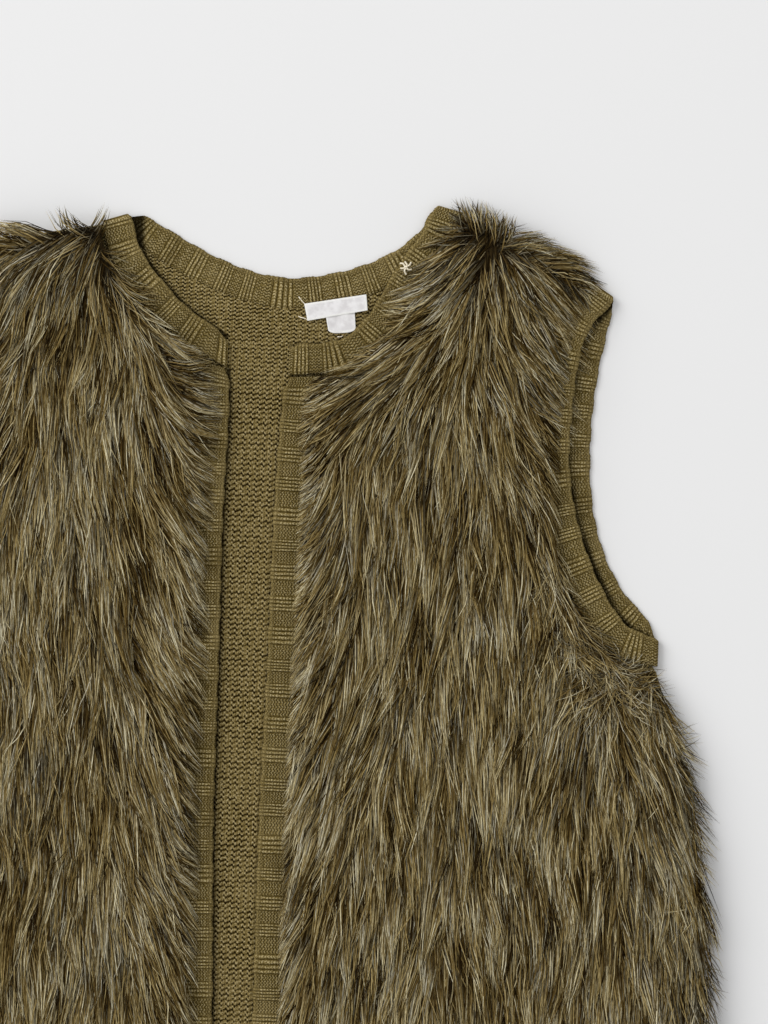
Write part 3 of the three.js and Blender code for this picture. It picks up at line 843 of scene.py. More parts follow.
# %% Purl knit finish
purl_knit = Finish("purl knit", 0.95, Specular_IOR_Level=0.02)
column, row = purl_knit.chart("stitches")
hollow, _ = purl_knit.chart("hollow")
uneven = purl_knit.noise(300, 1)
slip = (purl_knit.noise(190, 1) - 0.5) * 0.8
wave = column + slip * 0.3
wave = (wave - SLANT * wave.wave()).wave()
middle = abs((row + slip * 0.5 - WAVE_SHARE * wave).part() - 0.5) * 2
gap = middle**2.0 * (uneven.between(0.3, 0.7) * 0.45 + 0.1 + 0.9 * wave**4.0)
yarn = (1 - gap) * (0.78 + 0.22 * abs(wave))
fuzz = purl_knit.noise(1200, 3)
worn = purl_knit.noise(22, 2)
# Painted shade in the holes, then a painted highlight on the yarn.
depth = (yarn * 1.5 + fuzz * 0.7 - 0.98).between(0.0, 0.85)
shade = purl_knit.blend(depth, tint(27, 17, 0), tint(135, 116, 66))
shade = purl_knit.blend((yarn * fuzz - 0.36).between(0.0, 0.3), shade, tint(196, 181, 140))
shade = purl_knit.blend((worn - 0.42) * 0.4, shade, tint(150, 132, 88))
# Painted shade on the back under the fronts' free edges.
purl_knit.colour(purl_knit.blend(hollow * 0.9, shade, tint(14, 9, 1)))
purl_knit.bump(yarn + fuzz * 0.7, 0.001, 1.0)
back = add_piece("back_knit", mesh, purl_knit, "knit", "back_panel")

# %% [markdown]
# The neck label is a strip of white satin ribbon, sewn on by its ends, and a small tab hangs out from
# under it. Each starts as a grid that is pulled to the label's corners, and Solidify and Bevel give it
# the thickness and the soft edge of woven ribbon. Both are left bare.

# %% Label ribbon
satin = Finish("white satin", 0.6, Specular_IOR_Level=0.25, Sheen_Weight=0.15)
across, up = satin.chart("UVMap")
place = satin.node("ShaderNodeTexCoord", {}, {}, "Object")
settings = {"wave_type": "BANDS", "bands_direction": "DIAGONAL"}
weave = satin.node("ShaderNodeTexWave", settings, {"Vector": place, "Scale": 900, "Distortion": 1.5})
from_side = abs(across - 0.5) * 2
from_centre = abs(up - 0.5) * 2
border = 1 - (1 - from_side.between(0.9, 0.96)) * (1 - from_centre.between(0.68, 0.86))
crease_and_shade = satin.noise(190, 3)
# Painted shade in the creases of the white satin; the same noise gives their bump.
shade = satin.blend(crease_and_shade.between(0.35, 0.65), tint(232, 229, 229), tint(252, 250, 250))
shade = satin.blend(border, shade, tint(255, 254, 250))
satin.colour(satin.blend(weave * 0.1, shade, tint(205, 201, 199)))
satin.bump(weave * 0.5 + crease_and_shade, 0.0006, 0.6)


def make_ribbon(name, corners, node, level, curl, bow=0.0):
    """A ribbon between four corners: lower left, lower right, upper right, upper left."""
    bpy.ops.mesh.primitive_grid_add(x_subdivisions=32, y_subdivisions=12, size=2)
    ribbon = bpy.context.object
    ribbon.name = name
    lower_left, lower_right, upper_right, upper_left = (np.array(c, float) for c in corners)
    for vertex in ribbon.data.vertices:
        across, up = (vertex.co.x + 1) / 2, (vertex.co.y + 1) / 2
        low = lower_left + (lower_right - lower_left) * across
        high = upper_left + (upper_right - upper_left) * across
        x, y = low + (high - low) * up
        y -= bow * (1 - (2 * across - 1) ** 4) * (1 - up)
        wave = 0.3 * math.sin(across * 9 + up * 2) + curl * (abs(2 * across - 1) ** 3)
        vertex.co = Vector(to_frame(np.array([x, y, level + 0.25 + wave])))
    wall = ribbon.modifiers.new("wall", "SOLIDIFY")
    wall.thickness = 0.4 * MM
    wall.offset = 0
    edge = ribbon.modifiers.new("edge", "BEVEL")
    edge.width = 0.12 * MM
    edge.segments = 2
    edge.limit_method = "ANGLE"
    for modifier in ("wall", "edge"):
        bpy.ops.object.modifier_apply(modifier=modifier)
    ribbon.data.shade_smooth()
    dress(ribbon, satin, "label", node)
    ribbon.select_set(False)
    print(name, "has", len(ribbon.data.polygons), "faces")
    return ribbon


TAB_CORNERS = [(41.0, 31.6), (57.4, 33.2), (56.3, 44), (38.9, 41)]
LABEL_CORNERS = [(28.2, 37.0), (64.1, 44.8), (62.9, 54.4), (25.8, 47.2)]
tab = make_ribbon("tab_ribbon", TAB_CORNERS, "size_tab", 2.9, 0.2, 1.8)
label = make_ribbon("label_ribbon", LABEL_CORNERS, "neck_label", 3.6, 0.3)

# %% [markdown]
# A few ends of cream thread are left from sewing: two at the label, a knot below the tab, and a
# star of loose loops on the neck band where something was once tacked. Each is a short bent curve
# with a round bevel that is then made a mesh.

# %% Thread ends
cotton = Finish("cream thread", 0.85, Specular_IOR_Level=0.1)
fibre = cotton.noise(1500, 2)
cotton.colour(cotton.blend(fibre.between(0.3, 0.7), tint(206, 192, 160), tint(250, 243, 224)))
cotton.bump(fibre, 0.0003, 0.6)


def make_thread(name, ends, thickness):
    """Threads as one mesh, each from three or four places in garment millimetres."""
    curve = bpy.data.curves.new(name, "CURVE")
    curve.dimensions = "3D"
    curve.bevel_depth = thickness * MM / 2
    curve.bevel_resolution = 2
    curve.resolution_u = 6
    curve.use_fill_caps = True
    for end in ends:
        spline = curve.splines.new("NURBS")
        spline.points.add(len(end) - 1)
        for point, place in zip(spline.points, end):
            point.co = (*to_frame(np.array(place, float)), 1)
        spline.order_u = 3
        spline.use_endpoint_u = True
    thread = bpy.data.objects.new(name, curve)
    bpy.context.collection.objects.link(thread)
    bpy.ops.object.select_all(action="DESELECT")
    thread.select_set(True)
    bpy.context.view_layer.objects.active = thread
    bpy.ops.object.convert(target="MESH")
    thread.data.shade_smooth()
    dress(thread, cotton, "label")
    thread.select_set(False)
    print(name, "has", len(thread.data.polygons), "faces")
    return thread


STAR = np.array([86.0, 71.5, 6.3])
star_ends = [
    [STAR + [-3.6, 2.2, 0.2], STAR + [-1.8, 2.6, 0.9], STAR + [-0.6, 0.4, 0.7], STAR],
    [STAR + [3.0, 3.2, 0.2], STAR + [2.4, 1.2, 1.0], STAR + [0.5, 0.8, 0.8], STAR],
    [STAR + [0.4, -4.2, 0.2], STAR + [-1.2, -2.2, 0.9], STAR + [0.2, -0.8, 0.8], STAR],
    [STAR + [3.4, -1.0, 0.2], STAR + [2.0, -1.8, 0.8], STAR + [0.6, -0.5, 0.8], STAR],
    [STAR + [-3.2, -0.6, 0.2], STAR + [-1.6, -1.0, 0.8], STAR + [-0.4, 0.3, 0.9], STAR + [1.2, 1.4, 0.6]],
    [STAR + [-0.8, 3.4, 0.2], STAR + [0.6, 2.0, 0.9], STAR + [0.8, 0.2, 0.9], STAR + [-0.8, -1.4, 0.6]],
]
tacking_star = make_thread("tacking_star", star_ends, 1.1)
label_ends = [
    [(26.2, 47.0, 3.9), (24.6, 48.6, 4.4), (23.0, 50.4, 4.2), (22.4, 51.2, 3.4)],
    [(28.6, 37.4, 3.9), (26.4, 38.6, 4.4), (24.0, 38.8, 4.0), (22.6, 39.6, 3.2)],
    [(47.2, 27.6, 2.7), (46.4, 28.4, 3.6), (48.4, 28.0, 3.8), (49.6, 28.8, 2.9)],
]
label_threads = make_thread("label_threads", label_ends, 0.6)

# %% [markdown]
# Faux fur is a knit ground with long pile. The solid of each front gives the pile's outer shape, so
# every hair can be laid against it: rays cast down on the CAD model give the height of whatever is
# on top at each place, fur, band, back or floor.

# %% Height of the model
GRID = 2.0
GRID_X = np.arange(-330, 331, GRID)
GRID_Y = np.arange(HEM_Y - 44, 146, GRID)


def lifted_mesh(names):
    """The vertices and faces of CAD nodes, as one list each."""
    vertices = []
    faces = []
    for name in names:
        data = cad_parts[name].data
        start = len(vertices)
        vertices += [v.co for v in data.vertices]
        faces += [[start + i for i in polygon.vertices] for polygon in data.polygons]
    return vertices, faces


def heights_of(names):
    tree = BVHTree.FromPolygons(*lifted_mesh(names))
    down = Vector((0, 0, -1))
    field = np.zeros((len(GRID_Y), len(GRID_X)))
    for i, y in enumerate(GRID_Y):
        for j, x in enumerate(GRID_X):
            hit = tree.ray_cast(Vector((x * MM, (y + NECK_CORNER_Y) * MM, 0.1)), down)[0]
            if hit:
                field[i, j] = hit.z / MM
    return field


def sample(field, points):
    """A grid's value at points, between its nodes."""
    x = np.clip((points[:, 0] - GRID_X[0]) / GRID, 0, len(GRID_X) - 1.001)
    y = np.clip((points[:, 1] - GRID_Y[0]) / GRID, 0, len(GRID_Y) - 1.001)
    j, i = x.astype(int), y.astype(int)
    u, v = x - j, y - i
    low = field[i, j] * (1 - u) + field[i, j + 1] * u
    high = field[i + 1, j] * (1 - u) + field[i + 1, j + 1] * u
    return low * (1 - v) + high * v


outer_height = heights_of(list(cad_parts))
cloth_height = heights_of([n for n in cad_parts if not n.startswith("fur")])
print("highest fur in mm:", round(outer_height.max(), 1))

# %% [markdown]
# Combing gives fur its look. At each front the pile leaves a whorl near the shoulder top. It sticks
# out past the shoulder, sweeps over the neck band, falls straight down in the middle and leans out to
# both edges. The table is a comb map: the direction at heights down the front and places across it,
# in degrees from straight down, positive away from the opening.

# %% Comb maps
COMB_X = [20, 45, 70, 95, 120, 145, 170, 195, 220, 250, 280]
COMB_RIGHT = {
    112: [-90, -90, -100, -130, -160, 170, 135, 100, 70, 60, 60],
    95: [-90, -90, -90, -100, -75, 150, 75, 65, 60, 50, 50],
    75: [-88, -85, -75, -58, -32, 12, 45, 52, 45, 40, 40],
    55: [-88, -85, -80, -62, -18, 8, 37, 42, 20, 20, 20],
    35: [-85, -88, -85, -55, -10, 8, 40, 48, 35, 20, 20],
    10: [-80, -72, -62, -35, -10, 8, 42, 55, 40, 20, 20],
    -20: [-75, -50, -28, -12, -5, 10, 42, 55, 40, 20, 20],
    -50: [-55, -20, -8, -3, 0, 8, 38, 46, 20, 10, 10],
    -90: [-50, -18, -3, 0, -8, 5, 22, 10, -5, 5, 10],
    -130: [-44, -26, -6, 0, -8, 4, 6, 0, -10, 10, 15],
    -170: [-40, -28, -14, -5, -3, 0, 0, -3, 10, 42, 55],
    -210: [-33, -24, -15, -4, 0, 0, -2, -12, -8, 36, 55],
    -260: [-30, -15, -8, 0, 0, 0, 3, -5, 0, 15, 26],
    -310: [-26, -15, -7, -4, 0, 3, 10, 5, 0, 8, 25],
    -360: [-28, -14, -5, 0, 0, 0, 0, -4, -6, 3, 12],
    -430: [-27, -13, -5, 2, 3, -2, 0, 4, 3, 8, 18],
    -519: [-24, -12, -4, 0, 0, 0, 2, 0, 5, 10, 18],
}
COMB_LEFT = {
    112: [-90, -90, -150, -175, 165, 140, 120, 100, 70, 60, 60],
    95: [-90, -90, -110, -160, 160, 125, 100, 75, 60, 50, 50],
    75: [-80, -80, -60, 5, 28, 70, 60, 55, 45, 40, 40],
    55: [-80, -70, -40, -5, 10, 42, 42, 42, 20, 20, 20],
    35: [-85, -60, -42, -6, 2, 22, 42, 48, 35, 20, 20],
    10: [-85, -60, -16, -2, 5, 18, 42, 55, 40, 20, 20],
    -20: [-82, -45, -8, -1, 4, 14, 42, 55, 40, 20, 20],
    -50: [-72, -36, -12, -5, -1, 10, 38, 46, 20, 10, 10],
    -90: [-52, -29, -15, -9, 0, 2, 20, 10, -5, 5, 10],
    -130: [-38, -21, -14, -6, 4, 0, 6, 0, -10, 10, 15],
    -170: [-42, -27, -18, -8, 0, -8, 0, -3, 10, 42, 55],
    -210: [-38, -28, -17, -5, 0, -2, -2, -12, -8, 36, 55],
    -260: [-45, -28, -10, 0, -2, -3, 3, -5, 0, 15, 26],
    -310: [-46, -20, -12, -2, 13, 8, 10, 5, 0, 8, 25],
    -360: [-24, -20, -5, 0, 2, 8, 0, -4, -6, 3, 12],
    -430: [-28, -14, -5, 2, 3, -2, 0, 4, 3, 8, 18],
    -519: [-24, -12, -4, 0, 0, 0, 2, 0, 5, 10, 18],
}


class Comb:
    """The way the hair lies at any place on a front."""

    def __init__(self, table):
        self.heights = np.array(sorted(table))
        angles = np.radians([table[height] for height in self.heights])
        self.x = np.sin(angles)
        self.y = -np.cos(angles)

    def at(self, points):
        across = np.clip(np.interp(points[:, 0], COMB_X, range(len(COMB_X))), 0, len(COMB_X) - 1.001)
        rows = np.arange(len(self.heights))
        up = np.clip(np.interp(points[:, 1], self.heights, rows), 0, len(self.heights) - 1.001)
        j, i = across.astype(int), up.astype(int)
        u, v = across - j, up - i
        way = [
            (part[i, j] * (1 - u) + part[i, j + 1] * u) * (1 - v)
            + (part[i + 1, j] * (1 - u) + part[i + 1, j + 1] * u) * v
            for part in (self.x, self.y)
        ]
        way = np.stack(way, axis=1)
        return way / np.maximum(np.linalg.norm(way, axis=1, keepdims=True), 1e-6)


def sway(points, seed):
    """Slow random waves over the front, from about -1 to 1."""
    chance = np.random.default_rng(seed)
    total = np.zeros(len(points))
    for _ in range(9):
        pitch = chance.uniform(22, 90)
        turn = chance.uniform(0, 2 * math.pi)
        way = np.array([math.cos(turn), math.sin(turn)]) * 2 * math.pi / pitch
        total += np.sin(points @ way + chance.uniform(0, 2 * math.pi))
    return total / 3


# %% [markdown]
# Hair must end where the photograph shows bare band. Each front's seams carry a reach: how far the
# tips may pass over them. The opening's edges let little through, the neck and the upper armhole much
# more, and past the side fold and the shoulder the hair hangs free. The tables give it in millimetres
# at heights on the vest.

# %% Where the hair may reach
REACH_FRONT_RIGHT = {HEM_Y: 5, -60: 5, -40: 9, -10: 9, 5: 5}
REACH_FRONT_LEFT = {
    HEM_Y: 11, -300: 12, -230: 11, -200: 13, -175: 19, -150: 12, -130: 10, -100: 14, -60: 19, -20: 19, 5: 8,
}
REACH_NECK = {20: 5, 30: 13, 42: 22, 60: 21, 80: 15, 110: 7}
REACH_OUTSIDE = {
    HEM_Y: 15, -205: 15, -180: 11, -165: 8, -140: 8, -110: 6, -93: 8, -72: 15, -45: 22, -22: 27, 20: 27,
    45: 20, 60: 12,
}
REACH_SHOULDER = 13
REACH_HEM = 14
TURN_OUT = 0.45
print("most reach over the armhole in mm:", max(REACH_OUTSIDE.values()))

# %% [markdown]
# The cloth of a front ends at the inner edges of its bands. On a grid over it are kept how far each
# place lies inside the cloth, the reach of the nearest seam, and the way to the shoulder.


# %% The cloth of a front
def reach_at(table, y):
    heights = sorted(table)
    return np.interp(y, heights, [table[height] for height in heights])


class Front:
    """The cloth of one fur front, drawn as if on the right, with the reach over each seam."""

    def __init__(self, front_seam, neck_line, front_reach, comb, is_left=False):
        arm = armhole_front.beside(PANEL_INSET, 40)[::-1]
        side = side_fold.at(np.linspace(0, 1, 41))
        hem = np.array([front_seam[0], side[0]])
        shoulder = shoulder_line(arm[-1], neck_line[-1], 8)
        self.outline = np.vstack([side, arm, shoulder, neck_line[::-1], front_seam[::-1]])
        self.comb = Comb(comb)
        self.is_left = is_left
        cells = np.stack(np.meshgrid(GRID_X, GRID_Y), axis=-1).reshape(-1, 2)
        outside = np.vstack([side, arm])
        lines = [
            (hem, lambda y: np.full(len(y), REACH_HEM)),
            (outside, lambda y: reach_at(REACH_OUTSIDE, y)),
            (shoulder, lambda y: np.full(len(y), REACH_SHOULDER)),
            (neck_line, lambda y: reach_at(REACH_NECK, y)),
            (front_seam, lambda y: reach_at(front_reach, y)),
        ]
        nearest = np.full(len(cells), 1e9)
        reach = np.zeros(len(cells))
        for line, reach_of in lines:
            gap, place = distance_to(cells, line)
            height = np.interp(place, range(len(line)), line[:, 1])
            nearer = gap < nearest
            nearest[nearer] = gap[nearer]
            reach[nearer] = reach_of(height)[nearer]
        along = shoulder[-1] - shoulder[0]
        self.upward = np.array([along[1], -along[0]]) / np.linalg.norm(along)
        self.to_shoulder = distance_to(cells, shoulder)[0].reshape(len(GRID_Y), len(GRID_X))
        signed = np.where(is_inside(cells, self.outline), nearest, -nearest)
        self.inset = signed.reshape(len(GRID_Y), len(GRID_X))
        self.reach = reach.reshape(len(GRID_Y), len(GRID_X))
        self.area = area_within(self.outline)

    def way(self, points):
        """The comb map's direction, turned somewhat outwards in the last rows before the shoulder."""
        outward = TURN_OUT - TURN_OUT * smooth((sample(self.to_shoulder, points) - 3) / 8)
        way = self.comb.at(points) * (1 - outward[:, None]) + self.upward * outward[:, None]
        return way / np.maximum(np.linalg.norm(way, axis=1, keepdims=True), 1e-6)


right = Front(
    front_right.beside(PANEL_INSET, 24),
    neck_front_right.beside(PANEL_INSET, 24, 0.13, 1),
    REACH_FRONT_RIGHT,
    COMB_RIGHT,
)
left = Front(
    mirrored(front_left.beside(PANEL_INSET, 24))[::-1],
    mirrored(neck_front_left.beside(PANEL_INSET, 24, 0, 0.86))[::-1],
    REACH_FRONT_LEFT,
    COMB_LEFT,
    is_left=True,
)
print("cloth of a front in square millimetres:", round(right.area), round(left.area))

# %% [markdown]
# Real pile clumps: some two dozen hairs lean together into a lock, and the locks lie over each other
# like shingles. So locks are set out first, each with one path along the comb map. Where the pile is
# ruffled, at the underarm and along the side, the paths turn off the map and grow shorter. Each
# ruffled place is given by its x, y, size and share.

# %% Paths of the locks
LOCK_PITCH = 6.3
HAIR_LENGTH = 41
STOPS = np.array([0.0, 0.22, 0.6, 1.0])
PARTING_DEPTH = 22
MOST_TURN = math.radians(16)
SIDE_X = 240
RUFFLED = [(222, -160, 19, 0.8), (202, -133, 15, 0.7), (186, -105, 12, 0.45), (148, 96, 20, 0.2)]
RUFFLED_LEFT = [(88, 70, 12, 0.45), (74, 52, 10, 0.4)]


def set_locks(front, chance):
    """Lock centres in a shaken grid over the cloth."""
    x = np.arange(0, 300, LOCK_PITCH)
    y = np.arange(HEM_Y, 110, LOCK_PITCH)
    places = np.stack(np.meshgrid(x, y), axis=-1)
    places[1::2, :, 0] += LOCK_PITCH / 2
    places = places.reshape(-1, 2)
    crowded = places[sample(front.to_shoulder, places) < PARTING_DEPTH] + LOCK_PITCH / 2
    places = np.vstack([places, crowded])
    places = places + chance.uniform(-0.48, 0.48, places.shape) * LOCK_PITCH
    return places[sample(front.inset, places) > 0.5]


def tangle(front, points):
    """How far the pile is ruffled out of its comb lines at a place, from 0 to 1."""
    at_side = (points[:, 0] > SIDE_X) * (1 - smooth(sample(front.inset, points) / 12))
    total = 0.3 * at_side
    for x, y, size, share in RUFFLED + (RUFFLED_LEFT if front.is_left else []):
        gap = np.linalg.norm(points - [x, y], axis=1)
        total += share * np.exp(-((gap / size) ** 2))
    return np.clip(total, 0, 1)


def lock_paths(front, roots, length, chance, seed):
    """Each lock's path along the comb map, as points at the stops, with only slight turns."""
    lean = np.radians(7 * sway(roots, seed) + chance.normal(0, 4, len(roots)))
    ruffled = tangle(front, roots)
    lean = lean + np.radians(80) * chance.normal(0, 1, len(roots)) * ruffled
    bend = np.radians(chance.normal(0, 1, len(roots)) * (4 + 26 * ruffled))
    length = length * (1 - 0.5 * ruffled)
    way = front.way(roots)
    heading = np.arctan2(way[:, 1], way[:, 0]) + lean
    points = [roots]
    here = roots.copy()
    for step in np.diff(STOPS):
        way = front.way(here + 0.4 * step * HAIR_LENGTH * np.column_stack([np.cos(heading), np.sin(heading)]))
        turn = np.arctan2(way[:, 1], way[:, 0]) + lean - heading
        turn = (turn + math.pi) % (2 * math.pi) - math.pi
        heading = heading + np.clip(turn, -MOST_TURN, MOST_TURN) + bend
        here = here + np.column_stack([np.cos(heading), np.sin(heading)]) * (length * step)[:, None]
        points.append(here)
    return np.stack(points, axis=1)


# %% [markdown]
# The hairs of a lock start round its root and draw together towards its tip, but for a few strays. Where the
# pile is ruffled, more of them stray, curl and turn. The hairs on a lock's right flank get painted shade, and
# those on its left flank a little painted light.

# %% Hairs of the locks
HAIRS_A_LOCK = 26
LOCK_SPREAD = 3.6
RIM_X = 235


def grow(front, seed):
    """Points of each hair at the stops, in garment millimetres, with what its shade depends on."""
    chance = np.random.default_rng(seed)
    locks = set_locks(front, chance)
    length = HAIR_LENGTH * chance.uniform(0.85, 1.15, len(locks))
    paths = lock_paths(front, locks, length, chance, seed + 1)
    lock = np.repeat(np.arange(len(locks)), HAIRS_A_LOCK)
    count = len(lock)
    offset = chance.normal(0, LOCK_SPREAD, (count, 2))
    ruffled = tangle(front, locks)[lock]
    at_rim = ((locks[:, 0] > RIM_X) * (1 - smooth(sample(front.inset, locks) / 16)))[lock]
    draw = chance.uniform(0.5, 0.95, len(locks))[lock] * (1 - 0.75 * np.maximum(at_rim, ruffled))
    scale = chance.uniform(0.72, 1.12, count) * (1 - 0.3 * at_rim * chance.random(count))
    stray = chance.random(count) < 0.04 + 0.35 * ruffled
    draw[stray] = 0
    path = paths[lock]
    base = path[:, :1] + offset[:, None, :]
    close = 1 - draw[:, None] * STOPS[None, :] ** 1.2
    points = path[:, :1] + (path - path[:, :1]) * scale[:, None, None] + offset[:, None, :] * close[..., None]
    along = path[:, -1] - path[:, 0]
    side = np.column_stack([-along[:, 1], along[:, 0]]) / np.linalg.norm(along, axis=1, keepdims=True)
    wander = chance.normal(0, 0.45, count) + np.where(stray, chance.normal(0, 4.5, count), 0)
    curl = chance.normal(0, 0.35, count) * (1 + 5 * ruffled)
    curl = curl + np.where(stray, chance.normal(0, 1.4, count), 0)
    shift = wander[:, None] * STOPS**1.5 + curl[:, None] * np.sin(math.pi * STOPS)
    points = points + side[:, None, :] * shift[..., None]
    turn = chance.normal(0, 1, count) * math.radians(60) * ruffled
    cosine, sine = np.cos(turn)[:, None], np.sin(turn)[:, None]
    x, y = np.moveaxis(points - base, 2, 0)
    points = base + np.stack([x * cosine - y * sine, x * sine + y * cosine], axis=2)
    # Painted shade on a lock's right flank and a little painted light on its left flank.
    flank = (offset * side).sum(axis=1) / LOCK_SPREAD
    tone = -0.34 * smooth((flank - 0.35) / 0.9) + 0.1 * smooth(-flank) - 0.12 * ruffled
    keep = sample(front.inset, base[:, 0]) > 0.3
    return points[keep], lock[keep], locks, stray[keep], ruffled[keep], tone[keep], chance


# %% [markdown]
# A hair whose tip passes too far over a seam is cut back. Then each hair gets its heights: it starts
# down in the pile, rises to the pile's outer shape, which the CAD solid gives, and sinks onto the
# band, the back or the floor where it reaches past the fur.

# %% Trimming and laying the hair
RISE_END = 0.34
CLEARANCE = 0.4


def trim(front, points, chance):
    """Shortens the hairs whose tips pass too far over a seam."""
    root = points[:, 0]
    tip = points[:, -1]
    inset = sample(front.inset, tip)
    allowed = -sample(front.reach, tip) * chance.uniform(0.5, 1.15, len(points))
    start = np.maximum(sample(front.inset, root), 0.1)
    share = np.where(inset < allowed, (start - allowed) / np.maximum(start - inset, 1e-3), 1.0)
    share = np.clip(share, 0.1, 1.0)
    return root[:, None] + (points - root[:, None]) * share[:, None, None]


def lay(front, points, lock, mirror, stray, chance):
    """Heights of the hairs: out of the pile, along its top, and down over what lies beyond."""
    count = len(points)
    side = np.array([-1, 1]) if mirror else np.array([1, 1])
    depth = chance.uniform(3, 9, count)
    lift = chance.uniform(-2.4, 1.2, count) + chance.normal(-0.3, 1.0, lock.max() + 1)[lock]
    lift = lift + np.where(stray, 1.0, 0)
    levels = np.zeros((count, len(STOPS)))
    for k, stop in enumerate(STOPS):
        spot = points[:, k] * side
        surface = sample(outer_height, spot)
        rise = smooth(stop / RISE_END)
        levels[:, k] = surface - depth * (1 - rise) + lift * rise
        beyond = np.clip(-sample(front.inset, points[:, k]) / 6, 0, 1)
        floor_level = sample(cloth_height, spot) + CLEARANCE + 0.9 * chance.random(count)
        levels[:, k] = np.maximum(levels[:, k], floor_level)
        if k:
            run = np.linalg.norm(points[:, k] - points[:, k - 1], axis=1)
            levels[:, k] = np.maximum(levels[:, k], levels[:, k - 1] - run * (0.35 + 0.4 * beyond))
    return levels


# %% [markdown]
# A hair's colour depends on where it is on its chart: across it lie the shades, from near black through khaki
# and beige to blue-grey, and along it the hair runs from its dark root to its pale tip. The dark root is
# partly the fur's own colour and partly painted shade deep in the pile, and noise along the chart adds
# painted highlights, glints, on each strand. The shades are dealt out in the mesh, so the finish stays one
# simple lookup. Locks share a tone, the shoulders are darker and the sides greyer.

# %% Hair colours
SHADES = 128
GREY_FROM = 0.75


def deal_shades(lock, locks, stray, ruffled, tone, seed):
    """Each hair's place across the chart of shades, from its lock, its kind and its own tone."""
    chance = np.random.default_rng(seed + 5)
    shared = chance.normal(0, 0.14, len(locks)) + 0.09 * sway(locks, seed + 6)
    shared = shared - 0.12 * smooth((locks[:, 1] - 40) / 50)
    kind = chance.choice(4, len(lock), p=[0.22, 0.40, 0.29, 0.09])
    middle = np.array([0.14, 0.42, 0.68, 0.92])[kind]
    shade = middle + shared[lock] + chance.normal(0, 0.07, len(lock)) + 0.15 * stray + tone
    shade = np.clip(shade, 0, 0.999)
    greyish = 0.10 + 0.22 * smooth((locks[:, 0] - 215) / 50) + 0.2 * smooth((locks[:, 1] - 50) / 40)
    greyish = greyish + 0.10 * sway(locks, seed + 7)
    is_grey = chance.random(len(lock)) < greyish[lock] + 0.3 * ruffled
    chart = np.where(is_grey, GREY_FROM + shade * (1 - GREY_FROM), shade * GREY_FROM)
    return np.floor(chart * SHADES) / SHADES


fur_hair = Finish("fur hair", 0.55, Specular_IOR_Level=0.03)
shade_place, along = fur_hair.chart("OFBake")
stops = [
    (0.0, tint(40, 27, 4)),
    (0.20, tint(110, 89, 45)),
    (0.40, tint(180, 159, 107)),
    (0.58, tint(214, 199, 156)),
    (0.74, tint(252, 244, 214)),
    (0.76, tint(42, 37, 26)),
    (0.88, tint(128, 121, 100)),
    (1.0, tint(222, 217, 200)),
]
shade = fur_hair.node("ShaderNodeValToRGB", {"stops": stops}, {0: shade_place})
length_stops = [
    (0.0, tint(50, 44, 34)),
    (0.3, tint(184, 178, 165)),
    (0.7, tint(235, 235, 230)),
    (1.0, tint(255, 255, 250)),
]
# The dark root is partly the fur's own colour, partly painted shade deep in the pile.
along_tone = fur_hair.node("ShaderNodeValToRGB", {"stops": length_stops}, {0: along})
tone = fur_hair.blend(1.0, shade, along_tone, "MULTIPLY")
# Painted glints: noise along each strand lightens short stretches of it.
strand = fur_hair.node("ShaderNodeCombineXYZ", {}, {0: shade_place * (SHADES * 2.3), 1: along * 11})
painted_glint = fur_hair.node("ShaderNodeTexNoise", {}, {"Vector": strand, "Scale": 1, "Detail": 2})
dull = fur_hair.blend(1.0, tone, tint(176, 166, 142), "MULTIPLY")
fur_hair.colour(fur_hair.blend(painted_glint.between(0.36, 0.56), dull, tone))

# %% [markdown]
# A hair is a ribbon of two quads and a triangle, flat and tapered, because the camera sees it one or
# two pixels wide. Blender's own hair wouldn't be kept as a mesh, and a hundred thousand copies can't
# be placed one by one, so arrays hold all ribbons at once. They are joined into six large pieces,
# three heights for each front, so that none grows past 200,000 triangles.

# %% Hair as ribbons
HAIR_WIDTH = 0.7
TAPER = np.array([0.55, 1.0, 0.75])
RIBBON = [(0, 1, 3, 2), (2, 3, 5, 4), (4, 5, 6)]
RIBBON_MIRRORED = [(0, 2, 3, 1), (2, 4, 5, 3), (4, 6, 5)]
RIBBON_POINTS = 7
PARTS = {"low": (HEM_Y - 60, -330), "middle": (-330, -120), "high": (-120, 200)}


